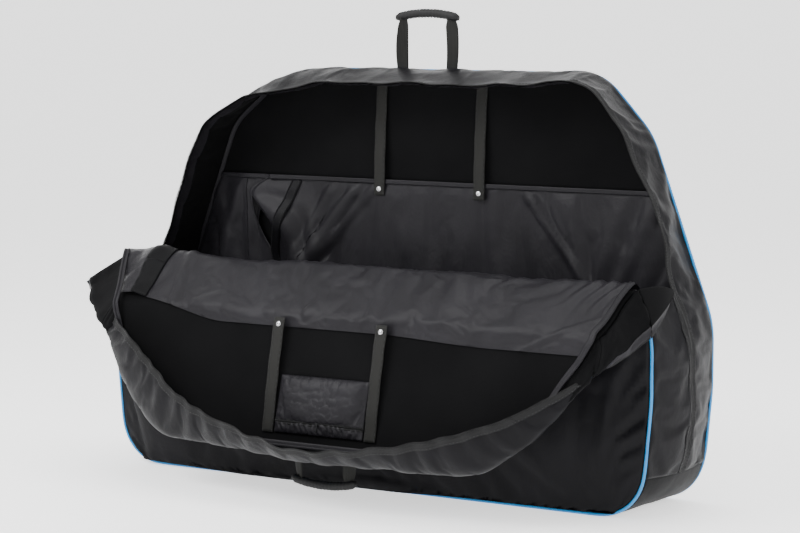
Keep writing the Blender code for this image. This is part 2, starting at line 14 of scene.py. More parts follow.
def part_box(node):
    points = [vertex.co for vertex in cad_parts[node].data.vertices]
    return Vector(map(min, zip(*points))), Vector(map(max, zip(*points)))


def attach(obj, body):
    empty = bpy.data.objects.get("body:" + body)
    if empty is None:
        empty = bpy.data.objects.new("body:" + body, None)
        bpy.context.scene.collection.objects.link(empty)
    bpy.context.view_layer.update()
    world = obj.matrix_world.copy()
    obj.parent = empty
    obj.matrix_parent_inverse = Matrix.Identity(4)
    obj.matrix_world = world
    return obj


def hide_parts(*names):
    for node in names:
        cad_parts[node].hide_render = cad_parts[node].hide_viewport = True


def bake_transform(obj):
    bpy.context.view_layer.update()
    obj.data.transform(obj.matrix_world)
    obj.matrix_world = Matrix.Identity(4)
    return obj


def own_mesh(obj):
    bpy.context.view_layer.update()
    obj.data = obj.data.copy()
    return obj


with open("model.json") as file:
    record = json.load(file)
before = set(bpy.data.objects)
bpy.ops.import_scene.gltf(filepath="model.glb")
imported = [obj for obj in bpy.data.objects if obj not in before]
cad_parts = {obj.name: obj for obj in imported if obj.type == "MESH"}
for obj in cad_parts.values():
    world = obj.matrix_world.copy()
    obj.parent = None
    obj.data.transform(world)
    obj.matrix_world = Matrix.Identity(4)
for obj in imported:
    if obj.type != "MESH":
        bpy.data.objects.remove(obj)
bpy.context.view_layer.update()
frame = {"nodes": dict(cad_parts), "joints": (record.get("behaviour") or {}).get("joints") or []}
NODES = frame["nodes"]
JOINTS = {joint["name"]: joint for joint in frame["joints"]}

# Camera of the photograph
CAMERA_PLACE = Vector((3.0015, -4.5750, 0.9822))
CAMERA_BACK = Vector((0.54619, -0.83152, 0.10106))
CAMERA_TURN = math.radians(33.3)
CAMERA_LENS = 125.49
SENSOR_WIDTH = 36.0


def add_camera():
    data = bpy.data.cameras.new("photo_camera")
    data.lens = CAMERA_LENS
    data.sensor_width = SENSOR_WIDTH
    camera = bpy.data.objects.new("photo_camera", data)
    right = Vector((math.cos(CAMERA_TURN), math.sin(CAMERA_TURN), 0.0))
    up = CAMERA_BACK.cross(right)
    turn = Matrix((right, up, CAMERA_BACK)).transposed().to_4x4()
    camera.matrix_world = Matrix.Translation(CAMERA_PLACE) @ turn
    bpy.context.scene.collection.objects.link(camera)
    bpy.context.scene.camera = camera


add_camera()

# Sizes and places, from the frame
FOLD_Y, FOLD_Z = JOINTS["flap_fold"]["pos_m"][1:]
TIP_Y, TIP_REST_Z = JOINTS["flap_tip_fold"]["pos_m"][1:]
FOLD_TURN = math.radians(-JOINTS["flap_fold"]["range_deg"][0])
TIP_TURN = math.radians(-JOINTS["flap_tip_fold"]["range_deg"][0])
TIP_Z = FOLD_Z + math.hypot(TIP_Y - FOLD_Y, TIP_REST_Z - FOLD_Z)
TOP_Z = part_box("rear_gusset")[1].z
HALF_DEPTH = -FOLD_Y
WALL_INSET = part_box("rear_gusset")[1].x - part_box("rear_wall_fabric")[1].x
BASE_SEAM_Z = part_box("base_fabric")[1].z
POCKET_EDGE_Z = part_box("rear_wheel_pocket")[1].z
POCKET_FOOT_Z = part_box("rear_wheel_pocket")[0].z
FOAM_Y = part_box("rear_wall_foam")[0].y
POCKET_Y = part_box("rear_wheel_pocket")[0].y
PIPING_RADIUS = 0.0032
SLIDER_Z = (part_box("zip_slider_right")[0].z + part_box("zip_slider_right")[1].z) / 2
SLIDER_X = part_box("zip_slider_right")[1].x - 0.005
TAPE_WIDTH = 0.013

# Fineness of the cloth grids
CELL = 0.008
FINE_CELL = 0.005


# Node materials
class Nodes:
    """A short way to write a material's nodes."""

    def __init__(self, name):
        self.material = bpy.data.materials.new(name)
        self.material.use_nodes = True
        self.tree = self.material.node_tree
        self.shader = self.tree.nodes["Principled BSDF"]
        self.place = self.add("ShaderNodeTexCoord").outputs["Object"]

    def add(self, kind, **values):
        node = self.tree.nodes.new(kind)
        for key, value in values.items():
            setattr(node, key, value)
        return node

    def link(self, output, target):
        self.tree.links.new(output, target)

    def noise(self, scale, detail=3.0, stretch=(1.0, 1.0, 1.0)):
        source = self.place
        if stretch != (1.0, 1.0, 1.0):
            mapping = self.add("ShaderNodeMapping")
            mapping.inputs["Scale"].default_value = stretch
            self.link(source, mapping.inputs["Vector"])
            source = mapping.outputs["Vector"]
        node = self.add("ShaderNodeTexNoise")
        node.inputs["Scale"].default_value = scale
        node.inputs["Detail"].default_value = detail
        self.link(source, node.inputs["Vector"])
        return node.outputs["Fac"]

    def waves(self, direction, pitch, distortion=0.0):
        """Bands that run across one direction, with a pitch in metres."""
        node = self.add("ShaderNodeTexWave", bands_direction=direction)
        node.inputs["Scale"].default_value = math.tau / (20.0 * pitch)
        node.inputs["Distortion"].default_value = distortion
        self.link(self.place, node.inputs["Vector"])
        return node.outputs["Fac"]

    def math(self, operation, first, second):
        node = self.add("ShaderNodeMath", operation=operation)
        for value, target in ((first, node.inputs[0]), (second, node.inputs[1])):
            if isinstance(value, (int, float)):
                target.default_value = value
            else:
                self.link(value, target)
        return node.outputs["Value"]

    def fix(self, **values):
        """Fixed values of the shader's inputs, with _ for each space in a name."""
        for name, value in values.items():
            self.shader.inputs[name.replace("_", " ")].default_value = value

    def tint(self, source, *stops):
        """Base colour along a ramp: each stop is a place and a colour."""
        node = self.add("ShaderNodeValToRGB")
        elements = node.color_ramp.elements
        while len(elements) < len(stops):
            elements.new(0.5)
        for element, (place, color) in zip(elements, stops):
            element.position = place
            element.color = (*color, 1.0)
        self.link(source, node.inputs["Fac"])
        self.link(node.outputs["Color"], self.shader.inputs["Base Color"])

    def bump(self, layers):
        """Stacks heights as bumps: each layer is a height, a strength and a depth in metres."""
        normal = None
        for height, strength, depth in layers:
            node = self.add("ShaderNodeBump")
            node.inputs["Strength"].default_value = strength
            node.inputs["Distance"].default_value = depth
            self.link(height, node.inputs["Height"])
            if normal is not None:
                self.link(normal, node.inputs["Normal"])
            normal = node.outputs["Normal"]
        self.link(normal, self.shader.inputs["Normal"])

    def roughness(self, source, low, high):
        node = self.add("ShaderNodeMapRange")
        node.inputs["To Min"].default_value = low
        node.inputs["To Max"].default_value = high
        self.link(source, node.inputs["Value"])
        self.link(node.outputs["Result"], self.shader.inputs["Roughness"])


def nylon(name, dark, light, rough, sheen, thread, specular):
    """Woven nylon: fine threads both ways, small crinkles and a slightly uneven tone."""
    nodes = Nodes(name)
    weave = nodes.math(
        "MULTIPLY",
        nodes.math("ADD", nodes.waves("X", thread), nodes.waves("Y", thread)),
        nodes.waves("Z", thread),
    )
    tone = nodes.noise(7.0, 4.0)
    crinkle = nodes.noise(38.0, 5.0, (1.0, 1.0, 0.7))
    fine = nodes.noise(170.0, 3.0)
    mixed = nodes.math("ADD", nodes.math("MULTIPLY", tone, 0.75), nodes.math("MULTIPLY", weave, 0.12))
    nodes.tint(mixed, (0.25, dark), (0.72, light))
    nodes.roughness(crinkle, rough - 0.06, rough + 0.08)
    nodes.bump(((crinkle, 0.30, 0.004), (fine, 0.20, 0.0008), (weave, 0.22, 0.0004)))
    nodes.fix(Sheen_Weight=sheen, Sheen_Roughness=0.35, Sheen_Tint=(0.80, 0.80, 0.90, 1.0))
    nodes.fix(Specular_IOR_Level=specular)
    return nodes.material


def foam_cloth(name, dark, light):
    """Matte knitted face of a foam lining, with faint pile and wear."""
    nodes = Nodes(name)
    tone = nodes.noise(5.0, 4.0)
    pile = nodes.noise(420.0, 2.0)
    knit = nodes.math("MULTIPLY", nodes.waves("X", 0.0022, 0.6), nodes.waves("Z", 0.0022, 0.6))
    nodes.tint(tone, (0.3, dark), (0.7, light))
    nodes.roughness(pile, 0.88, 0.98)
    nodes.bump(((pile, 0.30, 0.0006), (knit, 0.25, 0.0005)))
    nodes.fix(Specular_IOR_Level=0.05, Sheen_Weight=0.01)
    return nodes.material


def woven_band(name, dark, light, pitch):
    """Webbing or tape: ribs across it, with a herringbone run along it."""
    nodes = Nodes(name)
    ribs = nodes.waves("Z", pitch)
    runs = nodes.waves("X", pitch * 1.6)
    slant = nodes.waves("DIAGONAL", pitch * 1.2)
    cloth = nodes.math("ADD", nodes.math("MULTIPLY", ribs, runs), nodes.math("MULTIPLY", slant, 0.5))
    fuzz = nodes.noise(260.0, 3.0)
    tone = nodes.math("ADD", nodes.math("MULTIPLY", cloth, 0.4), nodes.math("MULTIPLY", fuzz, 0.5))
    nodes.tint(tone, (0.2, dark), (0.8, light))
    nodes.roughness(fuzz, 0.72, 0.88)
    nodes.bump(((cloth, 0.55, 0.0008), (fuzz, 0.20, 0.0004)))
    nodes.fix(Specular_IOR_Level=0.3)
    return nodes.material


def cord_cover(name, dark, light):
    """Bright woven cover of the piping."""
    nodes = Nodes(name)
    threads = nodes.math("MULTIPLY", nodes.waves("DIAGONAL", 0.0016), nodes.waves("Z", 0.0014))
    tone = nodes.noise(30.0, 2.0)
    mixed = nodes.math("ADD", nodes.math("MULTIPLY", threads, 0.5), nodes.math("MULTIPLY", tone, 0.6))
    nodes.tint(mixed, (0.2, dark), (0.8, light))
    nodes.roughness(tone, 0.32, 0.46)
    nodes.bump(((threads, 0.35, 0.0004),))
    return nodes.material


def metal(name, color, rough, worn):
    nodes = Nodes(name)
    grain = nodes.noise(300.0, 4.0)
    wear = nodes.noise(90.0, 5.0)
    nodes.tint(wear, (0.45, color), (0.80, worn))
    nodes.fix(Metallic=1.0)
    nodes.roughness(grain, rough - 0.05, rough + 0.10)
    nodes.bump(((grain, 0.10, 0.0002),))
    return nodes.material


def rubber(name, dark, light):
    nodes = Nodes(name)
    grain = nodes.noise(500.0, 3.0)
    tone = nodes.noise(25.0, 3.0)
    nodes.tint(tone, (0.3, dark), (0.7, light))
    nodes.roughness(tone, 0.48, 0.62)
    nodes.bump(((grain, 0.25, 0.0003),))
    nodes.fix(Specular_IOR_Level=0.25)
    return nodes.material


OUTER = nylon(
    "outer_nylon_look", (0.0042, 0.0041, 0.0048), (0.0088, 0.0085, 0.0101),
    rough=0.40, sheen=0.004, thread=0.0011, specular=0.08,
)
BASE_CLOTH = nylon(
    "base_cloth_look", (0.0028, 0.0028, 0.0032), (0.0056, 0.0056, 0.0063),
    rough=0.52, sheen=0.0, thread=0.0015, specular=0.07,
)
INNER = nylon(
    "inner_nylon_look", (0.0100, 0.0094, 0.0112), (0.0180, 0.0171, 0.0202),
    rough=0.36, sheen=0.004, thread=0.0009, specular=0.13,
)
FOAM = foam_cloth("foam_look", (0.0032, 0.0032, 0.0035), (0.0054, 0.0054, 0.0058))
WEBBING = woven_band("webbing_look", (0.0070, 0.0070, 0.0063), (0.0165, 0.0165, 0.0148), 0.0018)
TAPE = woven_band("tape_look", (0.0042, 0.0042, 0.0045), (0.0095, 0.0095, 0.0100), 0.0012)
PIPING = cord_cover("piping_look", (0.0010, 0.1450, 0.3800), (0.0025, 0.2600, 0.6000))
COIL = rubber("coil_look", (0.0060, 0.0060, 0.0063), (0.0110, 0.0110, 0.0115))
BLACK_METAL = metal("black_metal_look", (0.020, 0.020, 0.021), 0.34, (0.045, 0.045, 0.047))
BRIGHT_METAL = metal("bright_metal_look", (0.62, 0.62, 0.63), 0.20, (0.72, 0.72, 0.73))
RUBBER = rubber("grip_look", (0.0050, 0.0050, 0.0053), (0.0100, 0.0100, 0.0104))
THREAD = rubber("thread_look", (0.0200, 0.0200, 0.0215), (0.0300, 0.0300, 0.0320))


# Meshes through grids of points
def mesh_object(name, verts, faces, look):
    mesh = bpy.data.meshes.new(name)
    mesh.from_pydata([tuple(v) for v in verts], [], faces)
    mesh.update()
    mesh.shade_smooth()
    mesh.materials.append(look)
    obj = bpy.data.objects.new(name, mesh)
    bpy.context.scene.collection.objects.link(obj)
    return obj


def sheet_object(name, points, look, closed=False):
    """A quad sheet through an array of points with rows along u and columns along v."""
    points = np.asarray(points, float)
    rows, cols = points.shape[:2]
    faces = []
    for i in range(rows if closed else rows - 1):
        for j in range(cols - 1):
            a, b = i * cols + j, ((i + 1) % rows) * cols + j
            faces.append((a, b, b + 1, a + 1))
    return mesh_object(name, points.reshape(-1, 3), faces, look)


def settled(obj):
    """Replaces the mesh by what its modifiers make of it."""
    bpy.context.view_layer.update()
    seen = obj.evaluated_get(bpy.context.evaluated_depsgraph_get())
    mesh = bpy.data.meshes.new_from_object(seen)
    obj.modifiers.clear()
    obj.data = mesh
    return obj


def thicken(obj, thick, offset=0.0):
    solid = obj.modifiers.new("thickness", "SOLIDIFY")
    solid.thickness = thick
    solid.offset = offset
    return settled(obj)


def smoothstep(low, high, value):
    t = np.clip((value - low) / (high - low), 0.0, 1.0)
    return t * t * (3.0 - 2.0 * t)


def hump(value, centre, width):
    """A smooth bell of height 1."""
    return np.exp(-(((value - centre) / width) ** 2))


def ripple(points, scale, seed):
    """Smooth noise from -1 to 1 at each point of an array."""
    flat = np.asarray(points, float).reshape(-1, 3)
    shift = Vector((seed * 7.31, seed * 3.17, seed * 5.53))
    values = [noise.noise(Vector(p) * scale + shift) for p in flat]
    return np.array(values).reshape(np.asarray(points).shape[:-1])


# Outline of the bag, followed from the middle of its underside to the right and round
def wall_ring():
    co = np.array([v.co[:] for v in NODES["rear_wall_fabric"].data.vertices])
    back = co[co[:, 1] > co[:, 1].max() - 1e-5]
    middle = (back.min(0) + back.max(0)) / 2
    angle = np.arctan2(back[:, 0] - middle[0], middle[2] - back[:, 2])
    ring = back[np.argsort(angle % math.tau)][:, (0, 2)]
    return np.vstack(((middle[0], back[:, 2].min()), ring))


def distances(points):
    """How far along a line each of its points lies."""
    gaps = np.linalg.norm(np.diff(points, axis=0), axis=1)
    return np.concatenate(((0.0,), np.cumsum(gaps)))


def between(wanted, places, rows):
    """The rows of a table, interpolated at the wanted places."""
    return np.stack([np.interp(wanted, places, column) for column in rows.T], axis=-1)


def resampled(points, step, closed=False):
    """Points at an even step along a line."""
    points = np.asarray(points, float)
    if closed:
        points = np.vstack((points, points[:1]))
    along = distances(points)
    count = max(2, round(along[-1] / step)) + 1
    out = between(np.linspace(0.0, along[-1], count), along, points)
    return out[:-1] if closed else out


def rounded_ring(points, reach, step=0.004):
    """The closed line, evenly stepped and averaged over a short reach."""
    ring = resampled(points, step, True)
    span = max(1, round(reach / step))
    total = sum(np.roll(ring, shift, axis=0) for shift in range(-span, span + 1))
    return total / (2 * span + 1)


RING = rounded_ring(wall_ring(), 0.016)
RING_STEPS = np.linalg.norm(np.roll(RING, -1, axis=0) - RING, axis=1)
RING_ALONG = np.concatenate(((0.0,), np.cumsum(RING_STEPS)))
RING_LENGTH = RING_ALONG[-1]
TANGENT_REACH = 0.006


def ring_point(along, inset=0.0):
    """Place and outward direction at distances along the outline; inset counts from its outer edge."""
    along = np.asarray(along, float) % RING_LENGTH
    closed = np.vstack((RING, RING[:1]))
    place = between(along, RING_ALONG, closed)
    ahead = between((along + TANGENT_REACH) % RING_LENGTH, RING_ALONG, closed)
    behind = between((along - TANGENT_REACH) % RING_LENGTH, RING_ALONG, closed)
    tangent = ahead - behind
    tangent /=np.linalg.norm(tangent, axis=-1, keepdims=True)
    outward = np.stack((tangent[..., 1], -tangent[..., 0]), axis=-1)
    return place + outward * (WALL_INSET - inset), outward


def ring_at_height(z, side):
    """Distance along the outline where one side of it reaches a height."""
    half = RING[: len(RING) // 2 + 1]
    rising = half[:, 0] > half[:, 0].max() * 0.5
    along = float(np.interp(z, half[rising][:, 1], RING_ALONG[: len(half)][rising]))
    return along if side > 0 else RING_LENGTH - along


def half_width(z, inset=0.0):
    """Half of the outline's width at a height."""
    return float(ring_point(ring_at_height(z, 1), inset)[0][0])


# The top left corner isn't held up, and hangs a little lower at the back
SLUMP_X, SLUMP_Z = -0.395, 0.81
SLUMP_WIDTH, SLUMP_DROP = 0.085, 0.022


def slumped(points):
    points = np.array(points, float)
    near = hump(points[..., 0], SLUMP_X, SLUMP_WIDTH) * smoothstep(0.60, SLUMP_Z, points[..., 2])
    points[..., 2] -= SLUMP_DROP * near * smoothstep(0.0, FOAM_Y, points[..., 1])
    return points


# Floor, light and the rest of the stage; the backdrop behind the bag is lit more than the room
ROOM_LIGHT = 0.85
BACKDROP_LIGHT = 3.2
FLOOR_GLOW = 1.1


def stage():
    bpy.ops.mesh.primitive_plane_add(size=400.0)
    floor = bpy.context.object
    floor.name = "floor"
    nodes = Nodes("floor_look")
    grain = nodes.noise(3.0, 2.0)
    nodes.tint(grain, (0.3, (0.94, 0.94, 0.94)), (0.7, (0.95, 0.95, 0.95)))
    nodes.fix(Roughness=0.7, Emission_Color=(1.0, 1.0, 1.0, 1.0), Emission_Strength=FLOOR_GLOW)
    floor.data.materials.append(nodes.material)
    world = bpy.data.worlds.new("studio")
    world.use_nodes = True
    tree = world.node_tree
    toward = tree.nodes.new("ShaderNodeVectorMath")
    toward.operation = "DOT_PRODUCT"
    toward.inputs[1].default_value = -CAMERA_BACK
    tree.links.new(tree.nodes.new("ShaderNodeTexCoord").outputs["Generated"], toward.inputs[0])
    bright = tree.nodes.new("ShaderNodeMapRange")
    bright.inputs["From Min"].default_value = 0.5
    bright.inputs["From Max"].default_value = 0.95
    bright.inputs["To Min"].default_value = ROOM_LIGHT
    bright.inputs["To Max"].default_value = BACKDROP_LIGHT
    tree.links.new(toward.outputs["Value"], bright.inputs["Value"])
    tree.links.new(bright.outputs["Result"], tree.nodes["Background"].inputs["Strength"])
    tree.nodes["Background"].inputs["Color"].default_value = (1.0, 1.0, 1.0, 1.0)
    bpy.context.scene.world = world


def area_light(name, place, target, size, power):
    data = bpy.data.lights.new(name, "AREA")
    data.shape = "RECTANGLE"
    data.size, data.size_y = size
    data.energy = power
    light = bpy.data.objects.new(name, data)
    light.location = place
    aim = Vector(target) - Vector(place)
    light.rotation_euler = aim.to_track_quat("-Z", "Y").to_euler()
    bpy.context.scene.collection.objects.link(light)


stage()
area_light("key", (-1.6, -2.4, 2.9), (0.0, -0.1, 0.35), (2.2, 1.6), 130.0)
area_light("front", (2.6, -3.2, 1.6), (0.1, -0.1, 0.4), (1.8, 1.8), 45.0)
area_light("top", (0.2, 0.2, 3.2), (0.0, 0.0, 0.4), (3.0, 2.0), 60.0)
area_light("side", (3.4, 0.6, 1.5), (0.4, 0.0, 0.4), (1.4, 1.8), 45.0)


# Cloth that crumples
CLOTH_SETTINGS = {
    "quality": 4, "mass": 0.12, "tension_stiffness": 30.0, "compression_stiffness": 30.0,
    "shear_stiffness": 8.0, "tension_damping": 12.0, "compression_damping": 12.0,
    "vertex_group_mass": "pinned",
}


def crumpled(points, grow, gravity, frames, limit, seed, bend=0.06, toward=None):
    """A grid of cloth that grows a little between its pinned borders, and so buckles into wrinkles.

    Where toward is given, the cloth lies on something, and its wrinkles only rise on that side.
    """
    points = np.asarray(points, float)
    flat = points.reshape(-1, 3)
    normals = grid_normals(points).reshape(-1, 3)
    if toward is not None:
        normals = each_facing(normals, toward)
    pinned = np.ones(points.shape[:2], bool)
    pinned[1:-1, 1:-1] = False
    pinned = pinned.ravel()
    start = flat + normals * (ripple(flat, 24.0, seed) * 0.0018)[:, None]
    start[pinned] = flat[pinned]
    obj = sheet_object("cloth_run", start.reshape(points.shape), FOAM)
    group = obj.vertex_groups.new(name="pinned")
    group.add([int(i) for i in np.flatnonzero(pinned)], 1.0, "REPLACE")
    modifier = obj.modifiers.new("cloth", "CLOTH")
    cloth = modifier.settings
    for key, value in CLOTH_SETTINGS.items():
        setattr(cloth, key, value)
    cloth.bending_stiffness = bend
    cloth.shrink_min = -grow
    cloth.effector_weights.gravity = gravity
    modifier.collision_settings.use_collision = False
    modifier.point_cache.frame_start = 1
    modifier.point_cache.frame_end = frames
    scene = bpy.context.scene
    for step in range(1, frames + 1):
        scene.frame_set(step)
    seen = obj.evaluated_get(bpy.context.evaluated_depsgraph_get())
    moved = np.empty(len(flat) * 3)
    seen.data.vertices.foreach_get("co", moved)
    scene.frame_set(1)
    bpy.data.objects.remove(obj, do_unlink=True)
    shift = moved.reshape(-1, 3) - flat
    if toward is not None:
        rise = np.sum(shift * normals, axis=1)
        folded = np.where(rise < 0, -0.8 * rise, rise)
        shift += normals * (folded - rise)[:, None]
    reach = np.linalg.norm(shift, axis=1, keepdims=True)
    shift *= limit * np.tanh(reach / limit) / np.maximum(reach, 1e-9)
    return (flat + shift).reshape(points.shape)


def grid_normals(points, toward=None):
    """Normals of a grid, all turned over where on the whole they point away from a direction."""
    normal = np.cross(np.gradient(points, axis=0), np.gradient(points, axis=1))
    normal /= np.maximum(np.linalg.norm(normal, axis=-1, keepdims=True), 1e-9)
    return -normal if toward is not None and np.sum(normal * toward) < 0 else normal


def each_facing(normals, toward):
    """Normals, each turned over where it points away from a direction."""
    return normals * np.where(normals @ np.asarray(toward) < 0, -1.0, 1.0)[..., None]


# Small parts that follow lines
def ring_faces(rings, sides, base=0, closed=False):
    """Quads between rings of vertices, and a cap at each end of a row that isn't closed."""
    faces = []
    for ring in range(rings if closed else rings - 1):
        a, b = base + ring * sides, base + (ring + 1) % rings * sides
        for j in range(sides):
            k = (j + 1) % sides
            faces.append((a + j, a + k, b + k, b + j))
    if not closed:
        faces.append(tuple(base + j for j in range(sides))[::-1])
        faces.append(tuple(base + (rings - 1) * sides + j for j in range(sides)))
    return faces


def tube_along(name, points, radius, look, sides=8, closed=False):
    points = np.asarray(points, float)
    count = len(points)
    ahead = np.roll(points, -1, axis=0) - np.roll(points, 1, axis=0)
    if not closed:
        ahead[0] = points[1] - points[0]
        ahead[-1] = points[-1] - points[-2]
    ahead /= np.linalg.norm(ahead, axis=1, keepdims=True)
    side = np.cross(ahead[0], (0.0, 0.0, 1.0))
    if np.linalg.norm(side) < 0.1:
        side = np.cross(ahead[0], (0.0, 1.0, 0.0))
    radius = np.broadcast_to(radius, (count,))
    angles = np.linspace(0.0, math.tau, sides, endpoint=False)
    verts = []
    for i in range(count):
        side = side - ahead[i] * (side @ ahead[i])
        side /= np.linalg.norm(side)
        up = np.cross(ahead[i], side)
        for angle in angles:
            verts.append(points[i] + radius[i] * (math.cos(angle) * side + math.sin(angle) * up))
    return mesh_object(name, verts, ring_faces(count, sides, closed=closed), look)


BAND_SHARES = (-0.5, -0.25, 0.0, 0.25, 0.5)


def ribbon(name, centre, across, width, thick, look):
    """A flat band along a line, with the direction across it given at each point."""
    centre = np.asarray(centre, float)
    across = np.broadcast_to(np.asarray(across, float), centre.shape)
    across = across / np.linalg.norm(across, axis=1, keepdims=True)
    grid = np.stack([centre + across * width * share for share in BAND_SHARES], axis=1)
    return thicken(sheet_object(name, grid, look), thick)


STITCH_RADIUS = 0.0006


def stitches(name, line, pitch):
    """A row of short raised threads along a line, each of four rings."""
    line = resampled(line, pitch / 2)
    verts, faces = [], []
    for start, end in zip(line[:-1:2], line[1::2]):
        step = end - start
        ahead = step / max(np.linalg.norm(step), 1e-9)
        side = np.cross(ahead, (0.31, 0.52, 0.79))
        side /= np.linalg.norm(side)
        up = np.cross(ahead, side)
        faces += ring_faces(4, 4, len(verts))
        spots = (start, start + step * 0.3, start + step * 0.7, end)
        for spot, size in zip(spots, (0.4, 1.0, 1.0, 0.4)):
            for turn in range(4):
                angle = math.tau * turn / 4
                arm = math.cos(angle) * side + math.sin(angle) * up
                verts.append(spot + STITCH_RADIUS * size * arm)
    return mesh_object(name, verts, faces, THREAD)


def coil_teeth(name, line, into, pitch=0.0028, length=0.0046, high=0.0020):
    """The teeth of a zip, each a small rounded block across the tape's edge."""
    line = resampled(line, pitch)
    old = np.linspace(0.0, 1.0, len(into))
    into = between(np.linspace(0.0, 1.0, len(line)), old, np.asarray(into, float))
    into /= np.linalg.norm(into, axis=1, keepdims=True)
    ahead = np.gradient(line, axis=0)
    ahead /= np.linalg.norm(ahead, axis=1, keepdims=True)
    up = np.cross(ahead, into)
    verts, faces = [], []
    wide = pitch * 0.30
    for spot, a, b, c in zip(line, ahead, into, up):
        faces += ring_faces(3, 4, len(verts))
        for reach, share in ((0.0015, 0.6), (0.0, 1.0), (-length, 0.9)):
            for i, j in ((-1, -1), (1, -1), (1, 1), (-1, 1)):
                verts.append(spot - b * reach + a * wide * i * share + c * high / 2 * j * share)
    return mesh_object(name, verts, faces, COIL)


def lathe(name, profile, centre, axis, look, steps=28):
    """A turned piece: its profile is pairs of distance along the axis and radius."""
    axis = Vector(axis).normalized()
    side = axis.orthogonal().normalized()
    up = axis.cross(side)
    verts = []
    for reach, radius in profile:
        for step in range(steps):
            angle = math.tau * step / steps
            arm = side * math.cos(angle) + up * math.sin(angle)
            verts.append(Vector(centre) + axis * reach + arm * radius)
    return mesh_object(name, verts, ring_faces(len(profile), steps), look)


def piece(obj, body, material_slot, *replaced):
    """Hangs a piece on the empty of the body it rides on, and hides the parts it stands for; its material
    slot is not used.
    """
    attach(obj, body)
    if replaced:
        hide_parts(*replaced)
    return obj


def bent(obj, bend, material_slot, *replaced):
    """Hides the parts that a piece between two bodies stands for, and hands the piece to bend; its material
    slot is not used.
    """
    if replaced:
        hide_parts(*replaced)
    bend(obj)


def padding(name, points, thick, *replaced, offset=0.0):
    """A foam panel of the shell."""
    foam = thicken(sheet_object(name, points, FOAM), thick, offset)
    piece(foam, "shell", "foam", *replaced)


def side_name(side):
    return "right" if side > 0 else "left"


# Panels: grids in X and Z inside the outline
def panel_grid(low, high, inset, cell=CELL):
    """Rows from low to high and columns from left to right, each as X and Z."""
    rows = max(2, round((high - low) / cell)) + 1
    cols = round(2 * half_width(0.3) / cell) + 1
    heights = np.linspace(low, high, rows)
    halves = np.array([half_width(z, inset) for z in heights])
    share = np.linspace(-1.0, 1.0, cols)
    return np.stack((halves[:, None] * share[None, :], np.repeat(heights[:, None], cols, axis=1)), axis=-1)


def at_depth(grid, depth):
    """The panel's grid as points in space, at a depth in Y for each."""
    return np.stack((grid[..., 0], np.broadcast_to(depth, grid.shape[:2]), grid[..., 1]), axis=-1)


EDGE_REACH = 0.09


def edge_share(grid, low, high):
    """How far inside its borders each point of a panel lies, 0 at the border and 1 well inside."""
    halves = np.abs(grid[..., 0]).max(axis=1, keepdims=True)
    side = (halves - np.abs(grid[..., 0])) / EDGE_REACH
    foot = (grid[..., 1] - low) / EDGE_REACH
    head = (high - grid[..., 1]) / EDGE_REACH
    return smoothstep(0.0, 1.0, np.minimum(np.minimum(side, foot), head))


WALL_TOP = TOP_Z - WALL_INSET
WALL_FOOT = WALL_INSET


def rear_wall():
    grid = panel_grid(WALL_FOOT, WALL_TOP, WALL_INSET)
    inside = edge_share(grid, WALL_FOOT, WALL_TOP)
    points = at_depth(grid, HALF_DEPTH - 0.001)
    points[..., 1] += 0.006 * inside + 0.0035 * inside * ripple(points, 3.2, 3)
    points = slumped(crumpled(points, 0.008, 0.1, 18, 0.006, 11, toward=(0.0, 1.0, 0.0)))
    outer = thicken(sheet_object("rear_wall_cloth", points, OUTER), 0.0014)
    piece(outer, "shell", "outer_nylon", "rear_wall_fabric")
    puff = at_depth(grid, FOAM_Y + 0.0035)
    puff[..., 1] -= 0.0008 * inside * (1.0 + ripple(puff, 4.0, 4))
    padding("rear_wall_padding", slumped(puff), 0.0040, "rear_wall_foam")


# Creases pulled into the front wall: two ends in X and Z, width and depth
FRONT_CREASES = (
    ((0.642, 0.192), (0.545, 0.132), 0.010, 0.0075), ((0.640, 0.150), (0.560, 0.100), 0.010, 0.0050),
    ((0.632, 0.245), (0.585, 0.215), 0.010, 0.0045), ((0.600, 0.330), (0.520, 0.240), 0.014, 0.0040),
    ((0.015, 0.085), (0.062, 0.030), 0.010, 0.0050), ((0.050, 0.095), (0.095, 0.040), 0.010, 0.0045),
    ((0.300, 0.150), (0.420, 0.060), 0.016, 0.0035), ((-0.420, 0.120), (-0.300, 0.060), 0.016, 0.0035),
)


def creased(x, z, creases):
    """How far cloth stands off along straight creases, which fade towards their ends."""
    total = np.zeros_like(x)
    for (x0, z0), (x1, z1), width, depth in creases:
        long = math.hypot(x1 - x0, z1 - z0)
        ahead = ((x - x0) * (x1 - x0) + (z - z0) * (z1 - z0)) / long**2
        aside = ((x - x0) * (z1 - z0) - (z - z0) * (x1 - x0)) / long
        inside = smoothstep(-0.05, 0.30, ahead) * smoothstep(1.05, 0.70, ahead)
        total += depth * inside * (hump(aside, 0.0, width) - 0.5 * hump(aside, 1.6 * width, width))
    return total


